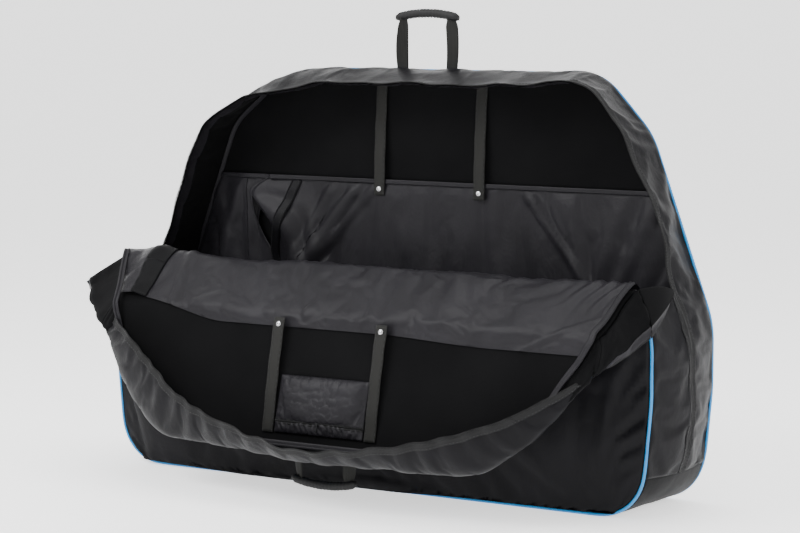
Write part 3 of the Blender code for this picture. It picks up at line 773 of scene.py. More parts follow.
def front_wall():
    grid = panel_grid(WALL_FOOT, FOLD_Z - 0.002, WALL_INSET)
    inside = edge_share(grid, WALL_FOOT - 0.03, FOLD_Z)
    points = at_depth(grid, -HALF_DEPTH + 0.001)
    lean = np.sin(np.pi * np.clip(grid[..., 1] / FOLD_Z, 0, 1)) ** 0.8
    points[..., 1] -= inside * (0.013 * lean + 0.004 * ripple(points, 3.0, 6))
    points[..., 1] -= creased(grid[..., 0], grid[..., 1], FRONT_CREASES)
    points = crumpled(points, 0.024, 0.15, 24, 0.013, 13, toward=(0.0, -1.0, 0.0))
    droop = smoothstep(0.22, 0.05, points[..., 0]) * hump(grid[..., 1], WALL_FOOT, 0.022)
    points[..., 1] -= 0.0050 * droop
    points[0, :, 2] -= 0.0052 * droop[0]
    outer = thicken(sheet_object("front_wall_cloth", points[::-1], OUTER), 0.0014)
    piece(outer, "shell", "outer_nylon", "front_wall_fabric")
    puff = at_depth(grid, -FOAM_Y - 0.0035)
    puff[..., 1] += 0.0008 * inside * (1.0 + ripple(puff, 4.0, 7))
    padding("front_wall_padding", puff, 0.0040, "front_wall_foam")


rear_wall()
front_wall()


# Gussets: arrays with rows along the outline and columns from the piping to the zip edge
EDGE_SHARES = (
    0.0, 0.013, 0.038, 0.073, 0.10, 0.125, 0.142, 0.158, 0.18, 0.208, 0.239, 0.265, 0.30, 0.32, 0.34,
    0.36, 0.385, 0.50, 0.56, 0.595, 0.63, 0.67, 0.70, 0.73, 0.793, 0.842, 0.858, 0.875, 0.93, 1.0,
)
EDGE_OFFSETS = (
    0.010, 0.018, 0.022, 0.020, 0.014, 0.005, 0.001, 0.006, 0.018, 0.018, 0.011, 0.006, 0.010, 0.008,
    -0.004, -0.016, -0.024, -0.025, -0.024, -0.031, -0.046, -0.050, -0.022, 0.0, 0.004, 0.004, 0.001,
    0.005, 0.014, 0.010,
)
GUSSET_BACK = HALF_DEPTH - 0.0026
GUSSET_COLS = 16
FACING_COLS = 4
BARE_COLS = 3
LINING_DEPTH, LINING_THICK = 0.0032, 0.0035
EDGE_GAP = 0.0012


def edge_offset(share):
    """How far the rear half's zip edge stands off the outline, with a little waviness."""
    wave = 0.0022 * np.sin(share * 67.0) + 0.0016 * np.sin(share * 141.0 + 1.0)
    raw = np.interp(share, EDGE_SHARES, EDGE_OFFSETS)
    return raw + wave * smoothstep(0.02, 0.10, share) * smoothstep(0.02, 0.10, 1.0 - share)


def averaged(values, reach):
    kernel = np.ones(2 * reach + 1) / (2 * reach + 1)
    padded = np.concatenate((np.full(reach, values[0]), values, np.full(reach, values[-1])))
    return np.convolve(padded, kernel, "valid")


def averaged_rows(line, reach):
    return np.stack([averaged(column, reach) for column in np.asarray(line).T], axis=1)


def crown(v):
    """How far a gusset swells outward between its piping, at 0, and its zip edge, at 1."""
    return 0.0065 * np.sin(np.pi * v) ** 0.6 * (1.0 - 0.5 * v)


def gusset_grid(along, offset, side, facing):
    """Grid of a gusset at distances along the outline, from its piping to its zip edge."""
    v = np.linspace(0.0, 1.0, GUSSET_COLS)
    place, outward = ring_point(along, 0.001)
    lift = offset[:, None] * smoothstep(0.10, 1.0, v)[None, :] + crown(v)[None, :]
    x = side * (place[:, None, 0] + outward[:, None, 0] * lift)
    z = place[:, None, 1] + outward[:, None, 1] * lift
    y = np.broadcast_to(facing * (GUSSET_BACK + (EDGE_GAP - GUSSET_BACK) * v), x.shape)
    return np.stack((x, y, z), axis=-1)


def rear_gusset_points():
    start = ring_at_height(BASE_SEAM_Z, 1)
    count = round((RING_LENGTH - 2 * start) / FINE_CELL)
    share = np.linspace(0.0, 1.0, count)
    along = start + share * (RING_LENGTH - 2 * start)
    return slumped(gusset_grid(along, averaged(edge_offset(share), 3), 1, 1))


def gusset_strip(name, points, inward, body, nodes=((), (), ()), zip_name=None, bare_rows=0):
    """Outer cloth of a gusset, its foam lining, the nylon facing beside its zip edge, and the zip.

    The nodes are those that the cloth, the lining and the tape stand for.
    """
    outer = sheet_object(name + "_cloth", points, OUTER)
    inner = points + inward * LINING_DEPTH
    lining = thicken(sheet_object(name + "_lining", inner[:, :-BARE_COLS], FOAM), LINING_THICK)
    face = points[:, -FACING_COLS:] + inward[:, -FACING_COLS:] * 0.0018
    face[:, 0] += inward[:, -FACING_COLS] * 0.0036
    facing = sheet_object(name + "_facing", face, INNER)
    piece(outer, body, "outer_nylon", *nodes[0])
    piece(lining, body, "foam", *nodes[1])
    piece(facing, body, "inner_nylon")
    zip_name = zip_name or name + "_zip"
    made = zip_edge(zip_name, points[bare_rows:], inward[bare_rows:], body, nodes[2])
    return outer, lining, facing, *made


def zip_edge(prefix, points, inward, body, replaced=()):
    """Tape, teeth and stitching along the last column of a gusset."""
    edge = points[:, -1]
    into = points[:, -1] - points[:, -3]
    into /= np.linalg.norm(into, axis=1, keepdims=True)
    middle = edge - into * TAPE_WIDTH * 0.5
    lift = -inward[:, -1] * 0.0012
    tape = ribbon(prefix + "_tape_band", middle + lift, into, TAPE_WIDTH, 0.0010, TAPE)
    piece(tape, body, "zip_tape", *replaced)
    teeth = coil_teeth(prefix + "_teeth", edge + lift, into)
    piece(teeth, body, "zip_tape")
    seam = stitches(prefix + "_stitches", edge - into * TAPE_WIDTH * 0.8 + lift * 1.7, 0.007)
    piece(seam, body, "outer_nylon")
    return tape, teeth, seam


def rear_half():
    points = crumpled(rear_gusset_points(), 0.014, 0.05, 20, 0.007, 17)
    inward = grid_normals(points, np.array((0.0, 0.06, 0.4)) - points)
    nodes = (("rear_gusset",), ("rear_lining",), ("rear_zip_tape",))
    gusset_strip("rear_gusset", points, inward, "shell", nodes, "rear_zip")


rear_half()


def piping_loop(facing, low=None):
    """The piping's line round a panel, on the outline's edge."""
    if low is None:
        along = np.linspace(0.0, RING_LENGTH, 520, endpoint=False)
    else:
        stop = ring_at_height(low, 1)
        along = np.linspace(-stop, stop, 340)
    place, outward = ring_point(along, PIPING_RADIUS)
    if facing > 0:
        right = smoothstep(0.25, 0.45, place[:, :1]) * smoothstep(0.04, 0.12, place[:, 1:])
        place = place + outward * (0.0030 * right)
    y = np.full(len(place), facing * (HALF_DEPTH - PIPING_RADIUS + 0.0008))
    return np.stack((place[:, 0], y, place[:, 1]), axis=1)


def piping():
    rear = tube_along("rear_piping_cord", slumped(piping_loop(1)), PIPING_RADIUS, PIPING, 10, True)
    piece(rear, "shell", "piping", "rear_piping")
    front = tube_along("front_piping_cord", piping_loop(-1, FOLD_Z - 0.004), PIPING_RADIUS, PIPING, 10)
    piece(front, "shell", "piping", "front_piping")


piping()


# Base: a tray of tougher cloth between the two loops of piping
def base_tray():
    stop = ring_at_height(BASE_SEAM_Z, 1) + 0.002
    along = np.linspace(-stop, stop, 190)
    v = np.linspace(-1.0, 1.0, 30)
    place, outward = ring_point(along, 0.0012)
    rise = smoothstep(0.0, BASE_SEAM_Z, place[:, 1])
    swell = 0.010 * rise[:, None] * np.cos(v * np.pi / 2)[None, :]
    x = place[:, None, 0] + outward[:, None, 0] * swell
    z = place[:, None, 1] + outward[:, None, 1] * swell
    y = np.broadcast_to(v * (HALF_DEPTH - 0.005), x.shape)
    points = np.stack((x, y, z), axis=-1)
    wrinkle = ripple(points, 16.0, 21) * 0.0028 * np.cos(v * np.pi / 2)[None, :]
    points[..., 2] += np.abs(wrinkle) * (1.0 - rise[:, None])
    points[..., 0] += np.sign(points[..., 0]) * wrinkle * rise[:, None]
    tray = thicken(sheet_object("base_cloth", points, BASE_CLOTH), 0.0012)
    piece(tray, "shell", "outer_nylon", "base_fabric")
    for end in (0, -1):
        line = points[end] + np.array((0.0012 * np.sign(points[end][0, 0]), 0.0, 0.002))
        seam = tube_along("base_seam_" + side_name(points[end][0, 0]), line, 0.0016, OUTER, 6)
        piece(seam, "shell", "outer_nylon")
    NODES["base_board"].data.materials[0] = BASE_CLOTH


base_tray()


# Cavity floor: a soft pad over the board
def base_pad():
    low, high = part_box("base_pad")
    cols, rows = 150, 28
    x = np.linspace(low.x, high.x, cols)
    y = np.linspace(low.y, high.y, rows)
    gx, gy = np.meshgrid(x, y, indexing="ij")
    edge = np.minimum((gx - low.x) * (high.x - gx) / 0.02, (gy - low.y) * (high.y - gy) / 0.004)
    dome = 0.0045 * smoothstep(0.0, 0.9, edge)
    top = np.stack((gx, gy, np.full(gx.shape, high.z - 0.004) + dome), axis=-1)
    top[..., 2] += 0.001 * ripple(top, 9.0, 31)
    padding("base_padding", top, 0.0075, "base_pad", offset=-1.0)


base_pad()


# Line that a layer of the front follows, from the lower wall over the fold to the flap's end
PATH_STEP = 0.002


def turned(depth, rise, turn, y, z):
    """A point at a depth inside and a rise above an axis, turned about it."""
    return (
        y + depth * math.cos(turn) - rise * math.sin(turn),
        z + depth * math.sin(turn) + rise * math.cos(turn),
    )


class FlapPath:
    """Heights of the closed bag against places in Y and Z of the open one, at one depth."""

    def __init__(self, depth, soften=0.012, start=FOLD_Z - 0.12):
        rows = [(z, FOLD_Y + depth, z) for z in np.arange(start, FOLD_Z, PATH_STEP)]
        steps = max(2, round(FOLD_TURN * depth / PATH_STEP))
        for step in range(steps + 1):
            rows.append((FOLD_Z, *turned(depth, 0.0, FOLD_TURN * step / steps, FOLD_Y, FOLD_Z)))
        for rise in np.arange(PATH_STEP, TIP_Z - FOLD_Z, PATH_STEP):
            rows.append((FOLD_Z + rise, *turned(depth, rise, FOLD_TURN, FOLD_Y, FOLD_Z)))
        steps = max(2, round(TIP_TURN * depth / PATH_STEP))
        for step in range(steps + 1):
            turn = FOLD_TURN + TIP_TURN * step / steps
            rows.append((TIP_Z, *turned(depth, 0.0, turn, TIP_Y, TIP_REST_Z)))
        for rise in np.arange(PATH_STEP, TOP_Z - TIP_Z + 0.03, PATH_STEP):
            turn = FOLD_TURN + TIP_TURN
            rows.append((TIP_Z + rise, *turned(depth, rise, turn, TIP_Y, TIP_REST_Z)))
        rows = resampled(rows, PATH_STEP)
        reach = round(soften / PATH_STEP)
        self.height = rows[:, 0]
        self.y = averaged(rows[:, 1], reach) if reach else rows[:, 1]
        self.z = averaged(rows[:, 2], reach) if reach else rows[:, 2]
        gaps = np.hypot(np.diff(self.y), np.diff(self.z))
        self.along = np.concatenate(((0.0,), np.cumsum(gaps)))

    def reach(self, height):
        """Distance along the line at a height of the closed bag."""
        return float(np.interp(height, self.height, self.along))

    def at(self, along):
        return (
            np.interp(along, self.along, self.height),
            np.interp(along, self.along, self.y),
            np.interp(along, self.along, self.z),
        )


FOAM_DEPTH = HALF_DEPTH - FOAM_Y
INNER_LINE = FlapPath(HALF_DEPTH - POCKET_Y)
FOAM_LINE = FlapPath(FOAM_DEPTH * 0.5)
OUTER_LINE = FlapPath(0.0, 0.004, FOLD_Z)


# The flap lies a little askew: its right edge further out than the outline, its left edge further in
SKEW_Z, SKEW_REACH = 0.55, 0.08
SKEW_RIGHT, SKEW_LEFT = 0.032, 0.010


def skewed(x, height, side):
    """X of a point of the flap, at its height and its share from the left edge, -1, to the right, 1."""
    both = (SKEW_RIGHT + SKEW_LEFT) / 2 * side**2 + (SKEW_RIGHT - SKEW_LEFT) / 2 * side
    return x + both * hump(height, SKEW_Z, SKEW_REACH)


def flap_grid(line, start, stop, inset, cell=FINE_CELL):
    """Grid on a flap layer: rows along the line, columns from left to right."""
    rows = max(2, round((stop - start) / cell)) + 1
    height, y, z = line.at(np.linspace(start, stop, rows))
    cols = round(2 * half_width(0.4) / (cell * 1.3)) + 1
    share = np.linspace(-1.0, 1.0, cols)
    halves = np.array([half_width(h, inset) for h in height])
    x = skewed(halves[:, None] * share[None, :], height[:, None], share[None, :])
    points = np.stack((x, np.repeat(y[:, None], cols, 1), np.repeat(z[:, None], cols, 1)), axis=-1)
    return points, height


def tip_blend(obj):
    """Bakes the transform of a piece between the flap's two panels into its mesh."""
    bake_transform(obj)


def fold_blend(obj):
    """Bakes the transform of a piece between the lower wall and the flap's first panel into its mesh."""
    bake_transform(obj)


FLAP_UP = (0.0, -0.4, 0.9)


def dart_shade_strip(points, along, cut_row, left, right):
    """A strip of the darkest nylon over the dart's far slope, on both of its cloths: painted shade of the
    dart's fold.
    """
    upward = each_facing(grid_normals(points), FLAP_UP)
    first = int(np.argmax(along > 0.20))
    for name, rows_used, bend in (
        ("fold_strip", range(first, cut_row + 1), fold_blend),
        ("flap_pocket_strip", range(cut_row, len(points)), tip_blend),
    ):
        grid = []
        for row in rows_used:
            wanted = np.linspace(left[row], right[row], 9)
            grid.append(between(wanted, points[row, :, 0], points[row] + 0.0022 * upward[row]))
        # The darkest nylon here is painted shade, where the dart's fold lies in shadow.
        bent(thicken(sheet_object(name, grid, BASE_CLOTH), 0.0010), bend, "outer_nylon")


def flap_pocket():
    """The flap's wheel pocket, whose cloth goes on over the fold."""
    split = FOLD_Z + 0.066
    start = INNER_LINE.reach(FOLD_Z - 0.085)
    stop = INNER_LINE.reach(POCKET_EDGE_Z)
    points, height = flap_grid(INNER_LINE, start, stop, WALL_INSET + 0.003)
    rows, cols = points.shape[:2]
    along = np.linspace(0.0, 1.0, rows)
    x = points[0, :, 0]
    cut = 0.010 * smoothstep(0.4, 0.1, x) + 0.048 * smoothstep(-0.30, -0.58, x)
    kept = 1.0 - cut / (stop - start)
    for column in range(cols):
        points[:, column] = between(along * kept[column], along, points[:, column])
    normal = grid_normals(points, FLAP_UP)
    sink = smoothstep(0.55, 1.0, along)[:, None, None] * 0.008
    points = points - normal * sink
    ridge = hump(height, FOLD_Z, 0.035)[:, None] + 0.8 * hump(along, 0.36, 0.07)[:, None]
    side = np.abs(points[..., 0]) / points[..., 0].max()
    points[..., 2] -= ridge * (0.004 * (1.0 - side**3) - 0.0045 * ripple(points, 6.0, 45))
    creases = hump(points[..., 0], 0.535, 0.045) + 0.6 * hump(points[..., 0], -0.50, 0.05)
    slant = points[..., 0] * 190.0 + along[:, None] * 16.0 + 5.0 * ripple(points, 11.0, 46)
    lift = 0.0035 * creases * np.sin(slant) * hump(along, 0.42, 0.24)[:, None]
    down = np.clip((along[:, None] - 0.36) / 0.64, 0.0, 1.0)
    dart_left, dart_right = -0.510 + 0.008 * down, -0.455 - 0.010 * down
    dart = smoothstep(0.0, 1.0, (points[..., 0] - dart_left + 0.05) / 0.05)
    dart = dart * smoothstep(0.0, 1.0, (dart_right - points[..., 0]) / (dart_right - dart_left))
    lift = lift + 0.008 * dart * smoothstep(0.20, 0.42, along)[:, None]
    left_seam = hump(points[..., 0], -0.419 + 0.028 * down, 0.008) * smoothstep(0.20, 0.36, along)[:, None]
    right_seam = hump(points[..., 0], 0.418 + 0.55 * (1.0 - along[:, None]), 0.009)
    lift = lift + 0.0045 * left_seam + 0.0045 * right_seam * smoothstep(0.50, 0.60, along)[:, None]
    points = points + normal * lift[..., None]
    points = crumpled(points, 0.020, 0.0, 26, 0.010, 41, toward=FLAP_UP)
    cut_row = int(np.argmax(height > split))
    low_cloth = sheet_object("fold_cloth", points[: cut_row + 1], INNER)
    bent(low_cloth, fold_blend, "inner_nylon", "fold_sleeve")
    high_cloth = sheet_object("flap_pocket_cloth", points[cut_row:], INNER)
    bent(high_cloth, tip_blend, "inner_nylon", "flap_root_pocket", "flap_tip_pocket")
    # A dark strip of cloth over the dart stands in for the shade of its fold.
    dart_shade_strip(points, along, cut_row, dart_left[:, 0], dart_right[:, 0])


def flap_shell():
    """The flap's foam and the outer cloth under it."""
    start, stop = FOAM_LINE.reach(FOLD_Z) + 0.006, FOAM_LINE.reach(TOP_Z - WALL_INSET)
    puff = flap_grid(FOAM_LINE, start, stop, WALL_INSET, CELL)[0]
    foam = thicken(sheet_object("flap_padding", puff, FOAM), 0.0060)
    bent(foam, tip_blend, "foam", "flap_root_foam", "flap_tip_foam")
    start, stop = OUTER_LINE.reach(FOLD_Z) + 0.002, OUTER_LINE.reach(TOP_Z - WALL_INSET)
    under = flap_grid(OUTER_LINE, start, stop, WALL_INSET, CELL)[0]
    rows, cols = under.shape[:2]
    share = np.linspace(0.0, 1.0, rows)[:, None]
    side = np.linspace(-1.0, 1.0, cols)[None, :]
    sag = 0.006 * np.sin(np.pi * share) * (1.0 - side**4)
    under = under - grid_normals(under, FLAP_UP) * sag[..., None]
    under = crumpled(under, 0.010, 0.1, 18, 0.006, 43)
    cloth = thicken(sheet_object("flap_cloth", under, OUTER), 0.0014)
    bent(cloth, tip_blend, "outer_nylon", "flap_root_fabric", "flap_tip_fabric")


def fold_seam():
    """The sewn bead along the fold, where the lower front's cloth meets the flap's."""
    half = half_width(FOLD_Z, WALL_INSET)
    x = np.linspace(-half, half, 120)
    line = np.stack((x, np.full_like(x, FOLD_Y + 0.001), np.full_like(x, FOLD_Z)), axis=1)
    piece(tube_along("fold_seam_bead", line, 0.0034, OUTER, 8), "shell", "outer_nylon")


flap_pocket()
flap_shell()
fold_seam()


# Wheel pockets of the lower half
def wheel_pocket(name, facing, top, node, fold_side):
    low, high = POCKET_FOOT_Z, top
    inset = WALL_INSET + 0.006
    grid = panel_grid(low, high, inset, 0.007)
    wall_y = FOAM_Y - 0.0015
    halves = np.abs(grid[..., 0]).max(axis=1, keepdims=True)
    side = smoothstep(0.0, 0.10, halves - np.abs(grid[..., 0]))
    foot = smoothstep(0.0, 0.12, grid[..., 1] - low)
    head = 0.35 + 0.65 * smoothstep(0.0, 0.20, high - grid[..., 1])
    stand = 0.0075 * side * foot * head
    points = at_depth(grid, wall_y - stand)
    if fold_side:
        points[..., 1] -= pocket_folds(points[..., 0], points[..., 2], high)
    points = crumpled(points, 0.024, 0.1, 24, 0.014, 51 + fold_side, toward=(0.0, -1.0, 0.0))
    points[..., 1] = np.minimum(points[..., 1], wall_y)
    points[..., 1] *= facing
    parts = slit_open(points) if fold_side else (("", points[::-1]),)
    for tag, part in parts:
        cloth = thicken(sheet_object(name + tag, part, INNER), 0.0010)
        piece(cloth, "shell", "inner_nylon", node)
    return [part for tag, part in parts]


# Folds of the rear pocket: place in X at mid height, lean in X per metre of height, width and depth
FOLD_MID_Z = 0.50
POCKET_FOLDS = (
    (-0.340, -0.30, 0.026, 0.017), (-0.292, -0.34, 0.016, 0.008), (-0.445, -0.05, 0.012, 0.008),
    (-0.490, 0.20, 0.018, 0.006), (-0.520, -0.40, 0.014, 0.005), (-0.231, 0.75, 0.015, 0.010),
    (-0.200, 0.95, 0.012, 0.005), (-0.275, 0.60, 0.012, 0.005), (0.285, -0.80, 0.010, 0.010),
    (0.330, -0.25, 0.020, 0.007), (0.420, 0.30, 0.016, 0.005), (0.480, 0.45, 0.014, 0.006),
    (0.060, 0.15, 0.045, 0.004), (-0.080, -0.10, 0.050, 0.004),
)


def pocket_folds(x, z, top):
    """How far the pocket's folds stand off; they fade towards its foot and its bound edge."""
    reach = smoothstep(0.28, 0.42, z) * smoothstep(0.0, 0.03, top - z)
    total = sum(
        depth * hump(x, place + lean * (z - FOLD_MID_Z), width)
        for place, lean, width, depth in POCKET_FOLDS
    )
    return reach * total


# The pocket gapes beside the strip that is sewn to it
SLIT_TOP, SLIT_FOOT = (-0.428, 0.545), (-0.378, 0.425)
SLIT_WIDTH = 0.040
SLIT_REACH = 11


def slit_open(points):
    """Cuts the pocket along a leaning line, and draws the two edges apart between its ends."""
    points = points.copy()
    rows, cols = points.shape[:2]
    z = points[:, 0, 2]
    middle = (SLIT_TOP[0] + SLIT_FOOT[0]) / 2
    column = int(np.argmin(np.abs(points[rows // 2, :, 0] - middle)))
    share = np.clip((SLIT_TOP[1] - z) / (SLIT_TOP[1] - SLIT_FOOT[1]), -0.6, 1.6)
    line = SLIT_TOP[0] + share * (SLIT_FOOT[0] - SLIT_TOP[0])
    near = smoothstep(-0.6, 0.0, share) * smoothstep(1.6, 1.0, share)
    shift = (line - points[:, column, 0]) * near
    away = np.abs(np.arange(cols) - column)
    points[..., 0] += shift[:, None] * smoothstep(SLIT_REACH, 0.0, away)[None, :]
    gape = SLIT_WIDTH * np.sin(np.pi * np.clip(share, 0.0, 1.0))[:, None]
    left, right = points[:, : column + 1].copy(), points[:, column:].copy()
    fade_left = smoothstep(SLIT_REACH, 0.0, away[: column + 1])[None, :]
    fade_right = smoothstep(SLIT_REACH, 0.0, away[column:])[None, :]
    left[..., 0] -= 0.35 * gape * fade_left
    right[..., 0] += 0.65 * gape * fade_right
    right[..., 1] -= 0.30 * gape * fade_right
    return ("_left", left), ("_right", right)


def on_sheet(points, x, z):
    """Places on a sheet that spans X and Z."""
    rows = np.interp(z, points[:, 0, 2], np.arange(len(points)))
    found = []
    for row, where in zip(rows, x):
        i = min(int(row), len(points) - 2)
        part = points[i] + (points[i + 1] - points[i]) * (row - i)
        found.append([np.interp(where, part[:, 0], part[:, axis]) for axis in range(3)])
    return np.array(found)


POCKET_LEFT, POCKET_RIGHT = wheel_pocket("rear_pocket_cloth", 1, POCKET_EDGE_Z, "rear_wheel_pocket", True)
wheel_pocket("front_pocket_cloth", -1, FOLD_Z - 0.075, "front_wheel_pocket", False)


def bound_edge(name, line, across, lift):
    """Folded and stitched edge of a pocket."""
    line = np.asarray(line) + lift
    hem = ribbon(name, line, across, 0.009, 0.0016, INNER)
    row = stitches(name + "_stitches", line + np.asarray(across) * 0.0028 + lift * 0.9, 0.006)
    return hem, row


def rear_pocket_edge():
    rows = np.concatenate((POCKET_LEFT[-3:], POCKET_RIGHT[-3:, 1:]), axis=1)
    line = rows[-1] - np.array((0.0, 0.0, 0.004))
    line[:, 1] = averaged(rows[..., 1].min(axis=0), 2) - 0.0008
    lift = np.array((0.0, -0.0012, 0.0))
    for obj in bound_edge("rear_pocket_hem", line, (0.0, 0.0, -1.0), lift):
        piece(obj, "shell", "inner_nylon")
    height = np.linspace(0.30, POCKET_EDGE_Z - 0.004, 60)
    seam_x = -0.452 + (POCKET_EDGE_Z - height) * 0.04
    line = on_sheet(POCKET_LEFT, seam_x, height) + lift
    piece(tube_along("rear_pocket_seam", line, 0.0011, INNER, 6), "shell", "inner_nylon")
    height = np.linspace(0.36, POCKET_EDGE_Z - 0.003, 60)
    strip_x = -0.322 - (POCKET_EDGE_Z - height) * 0.36
    beside = [on_sheet(POCKET_RIGHT, strip_x + offset, height) for offset in (0.0, -0.011, 0.011)]
    strip = beside[0]
    strip[:, 1] = np.min([line[:, 1] for line in beside], axis=0)
    strip = averaged_rows(strip, 3) + lift
    piece(ribbon("rear_pocket_strip", strip, (1.0, 0.0, -0.3), 0.022, 0.0012, OUTER), "shell", "outer_nylon")
    for offset in (-0.008, 0.008):
        row = strip + np.array((offset, -0.0008, 0.0))
        tag = "left" if offset < 0 else "right"
        piece(stitches("rear_pocket_strip_stitches_" + tag, row, 0.006), "shell", "outer_nylon")


rear_pocket_edge()


def binding_loop():
    """Binding tape over the seam between the rear wall's lining and the gusset's."""
    stop = ring_at_height(0.10, 1)
    along = np.linspace(stop, RING_LENGTH - stop, 420)
    place, outward = ring_point(along, WALL_INSET + 0.0015)
    y = np.full(len(place), FOAM_Y - 0.0015)
    line = np.stack((place[:, 0], y, place[:, 1]), axis=1)
    across = np.stack((outward[:, 0], np.full(len(place), -1.0), outward[:, 1]), axis=1)
    tape = ribbon("rear_binding", slumped(line), across, 0.009, 0.0016, INNER)
    piece(tape, "shell", "zip_tape")


binding_loop()


# Side gussets of the lower front
def front_gusset(side):
    name = side_name(side)
    start, stop = ring_at_height(BASE_SEAM_Z, 1), ring_at_height(FOLD_Z - 0.012, 1)
    rows = round((stop - start) / FINE_CELL) + 1
    along = np.linspace(start, stop, rows)
    share = (along - start) / (RING_LENGTH - 2 * start)
    edge = averaged(edge_offset(share if side > 0 else 1.0 - share), 3)
    points = gusset_grid(along, edge, side, -1)
    points = crumpled(points, 0.014, 0.2, 22, 0.008, 61 + side)
    inward = grid_normals(points, (-side, 0.0, 0.0))
    outer = thicken(sheet_object("front_gusset_cloth_" + name, points, OUTER), 0.0010)
    piece(outer, "shell", "outer_nylon", "front_gusset_" + name)
    inner = (points + inward * LINING_DEPTH)[:, :-BARE_COLS]
    padding("front_gusset_lining_" + name, inner, LINING_THICK)
    limit = int(np.argmax(points[:, -1, 2] > SLIDER_Z)) or rows
    tape = ("front_zip_tape_" + name,)
    zip_edge("front_zip_" + name, points[:limit], inward[:limit], "shell", tape)


front_gusset(1)
front_gusset(-1)


# Flap gusset: its zip edge hangs as in the photograph, by share of the seam from right to left
WING_SHARE = 0.084
RIM_SHARES = (
    0.0, 0.042, 0.084, 0.13, 0.175, 0.27, 0.35, 0.43, 0.5,
    0.57, 0.65, 0.73, 0.78, 0.825, 0.87, 0.916, 0.958, 1.0,
)
RIM_POINTS = (
    (0.630, -0.122, 0.352), (0.600, -0.170, 0.312), (0.552, -0.250, 0.270), (0.500, -0.303, 0.234),
    (0.446, -0.340, 0.200), (0.345, -0.368, 0.165), (0.250, -0.384, 0.142), (0.120, -0.392, 0.121),
    (0.010, -0.392, 0.113), (-0.100, -0.382, 0.134), (-0.225, -0.360, 0.162), (-0.315, -0.338, 0.195),
    (-0.363, -0.325, 0.232), (-0.404, -0.312, 0.257), (-0.455, -0.300, 0.295), (-0.525, -0.248, 0.312),
    (-0.602, -0.184, 0.332), (-0.687, -0.122, 0.375),
)
# Its section between the seam and the zip edge: how far it swells out, where the swelling's control
# point lies between the seam, 0, and the zip edge, 1, and how far that point hangs
BULGE_SHARES = (0.0, 0.042, 0.084, 0.13, 0.175, 0.27, 0.43, 0.57, 0.73, 0.825, 0.88, 0.916, 0.958, 1.0)
BULGES = (0.002, 0.002, 0.014, 0.030, 0.036, 0.034, 0.022, 0.022, 0.032, 0.034, 0.036, 0.036, 0.034, 0.022)
LEANS = (0.50, 0.50, 0.60, 0.80, 0.75, 0.55, 0.50, 0.50, 0.50, 0.60, 0.75, 0.85, 0.95, 0.95)
HANGS = (-0.010, -0.006, 0.008, 0.030, 0.030, 0.010, 0.0, 0.0, 0.0, 0.010, 0.020, 0.024, 0.020, 0.010)
SIDE_END_SHARE = 0.165
FLAP_SEAM_DEPTH = 0.004


def flap_seam(share):
    """Where the flap's gusset is sewn on, and the direction outward from the flap there."""
    start = ring_at_height(FOLD_Z, 1)
    along = start + np.asarray(share) * (RING_LENGTH - 2 * start)
    place, outward = ring_point(along, WALL_INSET - 0.002)
    line = FlapPath(FLAP_SEAM_DEPTH, 0.010, FOLD_Z - 0.02)
    height = np.maximum(place[:, 1], FOLD_Z)
    reach = np.interp(height, line.height, line.along)
    y, z = line.at(reach)[1:]
    seam = np.stack((skewed(place[:, 0], height, np.sign(place[:, 0])), y, z), axis=1)
    turn = FOLD_TURN + TIP_TURN * smoothstep(TIP_Z - 0.03, TIP_Z + 0.03, height)
    out = np.stack((outward[:, 0], -outward[:, 1] * np.sin(turn), outward[:, 1] * np.cos(turn)), axis=1)
    upper = np.stack((np.zeros_like(turn), np.cos(turn), np.sin(turn)), axis=1)
    return seam, out, upper


def arc(first, middle, last, t):
    """A curve from one point to another, drawn towards a middle one."""
    return (1 - t) ** 2 * first + 2 * t * (1 - t) * middle + t**2 * last


def flap_gusset_points():
    share = np.linspace(0.0, 1.0, 330)
    seam, out = flap_seam(share)[:2]
    rim = averaged_rows(between(share, RIM_SHARES, np.array(RIM_POINTS)), 6)
    rim[:, 2] += 0.0030 * np.sin(share * 118.0) * hump(share, 0.5, 0.22)
    rim[:, 1] += 0.0020 * np.sin(share * 173.0 + 0.7)
    bulge, lean, hang = (
        averaged(np.interp(share, BULGE_SHARES, table), 8) for table in (BULGES, LEANS, HANGS)
    )
    lean = lean[:, None]
    control = seam * (1.0 - lean) + rim * lean + out * (2.0 * bulge)[:, None]
    control[:, 2] -= hang
    v = np.linspace(0.0, 1.0, GUSSET_COLS + 2)
    strip = arc(seam[:, None], control[:, None], rim[:, None], v[None, :, None])
    for row, line in enumerate(strip):
        along = distances(line)
        strip[row] = between(v * along[-1], along, line)
    return strip, share


def corner_points(side, strip):
    """The gusset's cloth between a slider and the fold, turned out over the lower gusset."""
    end = strip[0] if side > 0 else strip[-1]
    slider = np.array((side * SLIDER_X, -EDGE_GAP, SLIDER_Z + 0.004))
    t = np.linspace(0.0, 1.0, 26)[:, None]
    ridge_mid = np.array((side * 0.612, -0.060, FOLD_Z + 0.010))
    seam = arc(slider, ridge_mid, end[0], t)
    rim_mid = (slider + end[-1]) / 2 + np.array((side * 0.014, 0.0, 0.006))
    rim = arc(slider, rim_mid, end[-1], t)
    v = np.linspace(0.0, 1.0, strip.shape[1])
    bend = end - (end[0][None] + (end[-1] - end[0])[None] * v[:, None])
    points = seam[:, None] + (rim - seam)[:, None] * v[None, :, None]
    return points + bend[None] * (t**0.7)[:, None]


def squashed(obj):
    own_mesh(obj)


def folding_way(body, side):
    """The direction in which a side of the gusset folds flat, and the share of it that stays."""
    if body == "flap_tip":
        return flap_seam(np.array((0.12 if side > 0 else 0.88,)))[1][0], 0.25
    fold = JOINTS[body + "_fold"]
    turn = Matrix.Rotation(math.radians(-fold["range_deg"][0]), 3, Vector(fold["axis"]))
    return turn @ Vector(flap_seam(np.array((0.042 if side > 0 else 0.958,)))[1][0]), 0.15


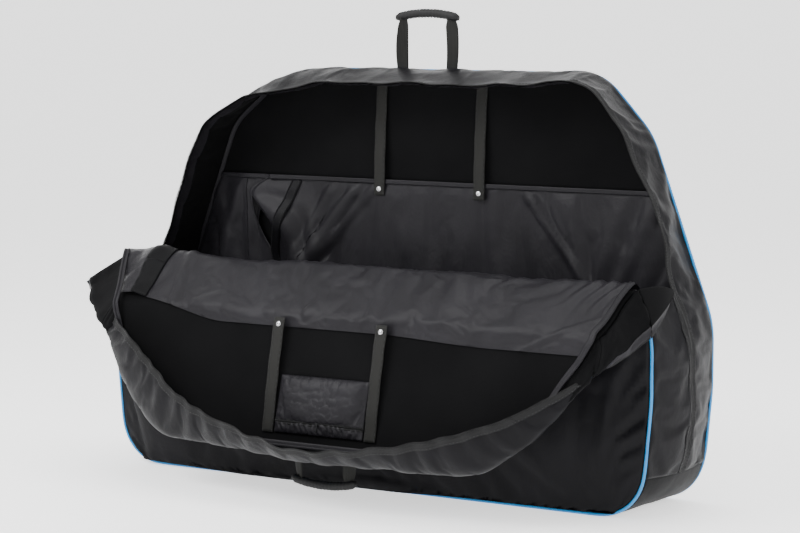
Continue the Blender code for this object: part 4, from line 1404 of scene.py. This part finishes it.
def flap_gusset():
    points, share = flap_gusset_points()
    points = crumpled(points, 0.016, 0.3, 26, 0.007, 71)
    inward = grid_normals(points, np.array((0.0, -0.33, 0.24)) - points)
    low = int(np.argmax(share >= WING_SHARE))
    high = len(share) - low
    side_end = int(np.argmax(share >= SIDE_END_SHARE))
    parts = (
        ("wing_right", "wing_right", 0, low + 1, 1),
        ("flap_side_right", "flap_tip", low, side_end + 1, 1),
        ("flap_gusset", "flap_tip", side_end, len(share) - side_end, 0),
        ("flap_side_left", "flap_tip", len(share) - side_end - 1, high, -1),
        ("wing_left", "wing_left", high - 1, len(share), -1),
    )
    nodes = {
        "wing_right": (("flap_wing_right",), (), ()),
        "wing_left": (("flap_wing_left",), (), ()),
        "flap_gusset": (("flap_tip_gusset",), ("flap_tip_lining",), ("flap_tip_zip_tape",)),
    }
    for name, body, start, stop, side in parts:
        strip = points[start:stop]
        made = gusset_strip(name, strip, inward[start:stop], body, nodes.get(name, ((), (), ())))
        if side:
            normal, keep = folding_way(body, side)
            for obj in made:
                squashed(obj)
    for side in (1, -1):
        corner = corner_points(side, points)
        up = grid_normals(corner, (0.0, 0.0, 1.0))
        made = gusset_strip("corner_" + side_name(side), corner, up, "shell", bare_rows=2)
        for obj in made:
            squashed(obj)


flap_gusset()


def flap_trim():
    """Piping round the flap, and binding tape over its inner seam."""
    share = np.linspace(0.0, 1.0, 420)
    seam, out, upper = flap_seam(share)
    split = share[int(np.argmax(share >= WING_SHARE))]
    cord = seam + out * 0.002 - upper * 0.0065
    for name, keep, body, node in (
        ("flap_piping_right", share <= split, "flap_root", "flap_root_piping_right"),
        ("flap_piping_tip", (share >= split) & (share <= 1 - split), "flap_tip", "flap_tip_piping"),
        ("flap_piping_left", share >= 1 - split, "flap_root", "flap_root_piping_left"),
    ):
        piece(tube_along(name, cord[keep], PIPING_RADIUS, PIPING, 10), body, "piping", node)
    start = ring_at_height(FOLD_Z, 1)
    along = start + share * (RING_LENGTH - 2 * start)
    place, outward = ring_point(along, WALL_INSET + 0.003)
    height = np.maximum(place[:, 1], FOLD_Z)
    under_pocket = smoothstep(POCKET_EDGE_Z - 0.02, POCKET_EDGE_Z + 0.02, height)
    lines = []
    for depth in (HALF_DEPTH - POCKET_Y + 0.0025, FOAM_DEPTH + 0.004):
        path = FlapPath(depth, 0.012, FOLD_Z - 0.02)
        y, z = path.at(np.interp(height, path.height, path.along))[1:]
        x = skewed(place[:, 0], height, np.sign(place[:, 0]))
        lines.append(np.stack((x, y, z), axis=1))
    line = lines[0] + (lines[1] - lines[0]) * under_pocket[:, None]
    for name, offset, width in (("flap_binding", 0.0, 0.012), ("flap_binding_ridge", 0.0035, 0.004)):
        tape = ribbon(name, line + out * offset + upper * offset * 0.5, out, width, 0.0020, INNER)
        bent(tape, tip_blend, "inner_nylon")


flap_trim()


# Straps, handles and metal
def box_axes(node):
    """Centre, directions from the longest to the shortest, and sizes, of a boxy CAD node."""
    co = np.array([v.co[:] for v in NODES[node].data.vertices])
    axes = np.linalg.eigh(np.cov((co - co.mean(0)).T))[1].T[::-1]
    sizes = [np.ptp(co @ axis) for axis in axes]
    middle = sum(axis * ((co @ axis).max() + (co @ axis).min()) / 2 for axis in axes)
    return middle, axes, sizes


CAP_PROFILE = (
    (-0.0013, 0.0042), (-0.0011, 0.0052), (-0.0002, 0.0054), (0.0006, 0.0050),
    (0.0009, 0.0044), (0.0003, 0.0038), (0.0010, 0.0030), (0.0015, 0.0015), (0.0016, 0.0003),
)
STUD_PROFILE = (
    (-0.0007, 0.0058), (0.0, 0.0060), (0.0004, 0.0056), (0.0006, 0.0030), (0.0007, 0.0028),
)


def snap(node, tag, profile, out, body):
    """Half of a snap fastener, in its solid's place."""
    low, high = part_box(node)
    centre = (np.array(low) + np.array(high)) / 2
    piece(lathe(node + tag, profile, centre, out, BRIGHT_METAL), body, "snap_metal", node)


def strap(prefix, side, look_out):
    name = side_name(side)
    node = prefix + "_strap_" + name
    middle, axes, sizes = box_axes(node)
    along = axes[0] * (1.0 if axes[0][2] > 0 else -1.0)
    across = axes[1]
    t = np.linspace(-0.5, 0.5, 40)
    out = np.asarray(look_out, float)
    wave = 0.0022 * np.sin((t + 0.5) * np.pi) + 0.0006 * np.sin(t * 23.0 + side)
    line = middle + along * (sizes[0] * t)[:, None] + out * wave[:, None]
    turn = 0.03 * np.sin(t * 5.0 + side)
    spread = across[None, :] + out[None, :] * turn[:, None]
    band = ribbon(node + "_webbing", line, spread, sizes[1], sizes[2], WEBBING)
    piece(band, node, "webbing", node)
    for offset in (-0.42, 0.42):
        edge = line + spread * sizes[1] * offset + out * sizes[2] * 0.55
        piece(stitches(f"{node}_edge_{'a' if offset < 0 else 'b'}", edge, 0.012), node, "webbing")
    snap(f"{prefix}_snap_cap_{name}", "_dome", CAP_PROFILE, out, node)
    stud_body = "shell" if prefix == "rear" else "flap_tip"
    snap(f"{prefix}_snap_stud_{name}", "_ring", STUD_PROFILE, out, stud_body)


TIP_OUT = np.array((0.0, math.cos(FOLD_TURN + TIP_TURN), math.sin(FOLD_TURN + TIP_TURN)))
for strap_side in (1, -1):
    strap("rear", strap_side, (0.0, -1.0, 0.0))
    strap("front", strap_side, TIP_OUT)


GRIP_SIDES = 18
GRIP_HIGH, GRIP_DEEP = 0.0085, 0.0080
# Rows of stitching at a handle's foot: a box and its diagonals
SEWN_BOX = ((-0.009, -0.008), (0.009, -0.008), (0.009, 0.008), (-0.009, 0.008), (-0.009, -0.008))
SEWN_ROWS = ((0, SEWN_BOX), (2, (SEWN_BOX[0], SEWN_BOX[2])), (1, (SEWN_BOX[3], SEWN_BOX[1])))


def handle(prefix, body, twist):
    """Webbing legs and an arched grip with moulded ribs."""
    grip_node = prefix + "_handle_grip"
    middle, axes, sizes = box_axes(grip_node)
    legs = {}
    for side in (1, -1):
        node = prefix + "_handle_leg_" + side_name(side)
        legs[side] = (node, *box_axes(node))
    along = legs[1][2][0]
    if along @ (middle - legs[1][1]) < 0:
        along = -along
    x = np.array((1.0, 0.0, 0.0))
    out = np.cross(along, x)
    span = legs[1][1][0] - legs[-1][1][0]
    t = np.linspace(-1.0, 1.0, 61)
    arch = 0.009 * (1.0 - t**2) - 0.006
    reach = sizes[0] / 2
    centre = middle + x * (t * reach)[:, None] + along * arch[:, None]
    rib = 1.0 + 0.05 * np.sign(np.sin(t * 58.0)) * (np.abs(t) < 0.80)
    flare = 1.0 - 0.35 * smoothstep(0.90, 1.0, np.abs(t))
    verts = []
    for i, spot in enumerate(centre):
        for j in range(GRIP_SIDES):
            angle = math.tau * j / GRIP_SIDES
            high = GRIP_HIGH * rib[i] * flare[i] * math.sin(angle)
            deep = GRIP_DEEP * rib[i] * flare[i] * math.cos(angle)
            verts.append(spot + along * high + out * deep)
    grip = mesh_object(grip_node + "_rubber", verts, ring_faces(len(centre), GRIP_SIDES), RUBBER)
    piece(grip, body, "grip_rubber", grip_node)
    seam_line = centre - along * 0.0088 + out * 0.001
    piece(stitches(prefix + "_handle_grip_seam", seam_line[4:-4], 0.007), body, "grip_rubber")
    for side in (1, -1):
        node, leg_middle = legs[side][:2]
        leg_sizes = legs[side][3]
        foot = leg_middle - along * leg_sizes[0] / 2
        head = middle + x * side * span / 2 - along * 0.004
        t = np.linspace(0.0, 1.0, 34)
        line = foot + (head - foot) * t[:, None]
        lean = 0.004 * np.sin(np.pi * t) * side
        line = line + x * lean[:, None]
        turn = twist[side] * smoothstep(0.05, 0.95, t)
        spread = x * np.cos(turn)[:, None] + out * np.sin(turn)[:, None]
        narrow = leg_sizes[1] * (1.0 - 0.34 * smoothstep(0.82, 1.0, t))
        grid = np.stack([line + spread * (narrow * share)[:, None] for share in BAND_SHARES], axis=1)
        band = thicken(sheet_object(node + "_webbing", grid, WEBBING), leg_sizes[2] * 0.8)
        piece(band, body, "webbing", node)
        patch = foot + along * 0.011 + out * 0.0019
        for number, row in SEWN_ROWS:
            for tag, back in (("a", 0.0), ("b", 0.0038)):
                line = [patch + x * a + along * b - out * back for a, b in row]
                piece(stitches(f"{node}_sewn_{number}_{tag}", line, 0.0036), body, "webbing")


handle("rear", "rear_handle", {-1: 1.25, 1: 0.35})
handle("front", "front_handle", {-1: 0.5, 1: -0.4})


def oval(centre, reach, wide, count):
    angles = np.linspace(0, math.tau, count + 1)[:-1]
    return [(centre + reach * math.cos(a), wide * math.sin(a)) for a in angles]


def pull_tab(node, body):
    """A rounded tab with a hole, in the place of a slider's plain pull."""
    middle, axes, sizes = box_axes(node)
    curve = bpy.data.curves.new(node + "_tab", "CURVE")
    curve.dimensions = "2D"
    curve.fill_mode = "BOTH"
    half, wide = sizes[0] / 2, sizes[1] / 2
    outline = []
    for step in range(24):
        angle = math.tau * step / 24
        end = math.copysign(half - wide, math.cos(angle))
        outline.append((end + wide * math.cos(angle), wide * math.sin(angle)))
    hole = oval(-half * 0.55, wide * 0.45, wide * 0.45, 12)
    long_hole = oval(half * 0.35, half * 0.35, wide * 0.40, 16)
    for loop in (outline, hole, long_hole):
        spline = curve.splines.new("POLY")
        spline.points.add(len(loop) - 1)
        for point, (a, b) in zip(spline.points, loop):
            point.co = (a, b, 0.0, 1.0)
        spline.use_cyclic_u = True
    curve.extrude = sizes[2] / 2 * 0.6
    curve.bevel_depth = sizes[2] / 2 * 0.35
    curve.bevel_resolution = 1
    temporary = bpy.data.objects.new(node + "_curve", curve)
    bpy.context.scene.collection.objects.link(temporary)
    bpy.context.view_layer.update()
    seen = temporary.evaluated_get(bpy.context.evaluated_depsgraph_get())
    mesh = bpy.data.meshes.new_from_object(seen)
    bpy.data.objects.remove(temporary, do_unlink=True)
    u, v = Vector(axes[0]), Vector(axes[1])
    w = u.cross(v)
    turn = Matrix((u, v, w)).transposed().to_4x4()
    mesh.transform(Matrix.Translation(Vector(middle)) @ turn)
    mesh.materials.clear()
    mesh.materials.append(BLACK_METAL)
    obj = bpy.data.objects.new(node + "_tab", mesh)
    bpy.context.scene.collection.objects.link(obj)
    piece(obj, body, "slider_metal", node)


for pull_side in ("right", "left"):
    pull_tab("zip_pull_" + pull_side, "pull_" + pull_side)
    NODES["zip_slider_" + pull_side].data.materials[0] = BLACK_METAL
pull_tab("accessory_pull", "small_pull")
NODES["accessory_slider"].data.materials[0] = BLACK_METAL


def edge_fade(rows, cols):
    """Weights of a grid that fall to 0 at its borders."""
    u = np.sin(np.pi * np.linspace(0.0, 1.0, rows)) ** 0.5
    v = np.sin(np.pi * np.linspace(0.0, 1.0, cols)) ** 0.5
    return (u[:, None] * v[None, :])[..., None]


# Accessory pocket on the flap: a slack pouch, its zip line and a gathered foot
def accessory_pocket():
    co = np.array([v.co[:] for v in NODES["accessory_pocket"].data.vertices])
    down = np.array((0.0, -math.sin(FOLD_TURN + TIP_TURN), math.cos(FOLD_TURN + TIP_TURN)))
    out = TIP_OUT
    span = co @ down
    deep = co @ out
    half = co[:, 0].max()
    low, high = span.min(), span.max()
    back, front = deep.min(), deep.max()
    cell = 0.0028
    rows, cols = round((high - low) / cell), round(2 * half / cell)
    u = np.linspace(0.0, 1.0, rows)[:, None]
    v = np.linspace(-1.0, 1.0, cols)[None, :]
    rise = back + 0.0015 + (front - back - 0.0015) * (1 - v**6) * (1 - (2 * u - 1) ** 6)
    x = half * v * np.ones_like(u)
    place = low + (high - low) * u * np.ones_like(v)
    flat = np.stack((x, np.zeros_like(x), np.zeros_like(x)), axis=-1)
    points = flat + place[..., None] * down + rise[..., None] * out
    zip_row = int(rows * 0.785)
    bag = points[: zip_row + 1]
    foot = points[zip_row:]
    crumple = 0.0016 * ripple(points, 60.0, 84) + 0.0012 * ripple(points, 120.0, 85)
    foot_crumple = 0.0022 * np.sin(x * 520.0 + 6.0 * ripple(points, 45.0, 86))
    bag = bag + crumple[: zip_row + 1, :, None] * out * edge_fade(*bag.shape[:2])
    foot = foot + (crumple + foot_crumple)[zip_row:, :, None] * out * edge_fade(*foot.shape[:2])
    bag = crumpled(bag, 0.050, 0.3, 26, 0.009, 81, 0.02, toward=out)
    foot = crumpled(foot, 0.060, 0.3, 26, 0.006, 83, 0.01, toward=out)
    points = np.concatenate((bag[:-1], foot), axis=0)
    obj = thicken(sheet_object("accessory_pouch", points, INNER), 0.0008)
    piece(obj, "flap_tip", "inner_nylon", "accessory_pocket")
    line = points[zip_row] + out * 0.0008
    for offset, tag in ((-0.0035, "a"), (0.0035, "b")):
        tape = ribbon("accessory_tape_" + tag, line + down * offset, down, 0.0055, 0.0008, TAPE)
        piece(tape, "flap_tip", "zip_tape")
    into = np.broadcast_to(down, line.shape)
    teeth = coil_teeth("accessory_teeth", line + out * 0.0006, into, 0.0016, 0.0024, 0.0012)
    piece(teeth, "flap_tip", "zip_tape")


accessory_pocket()
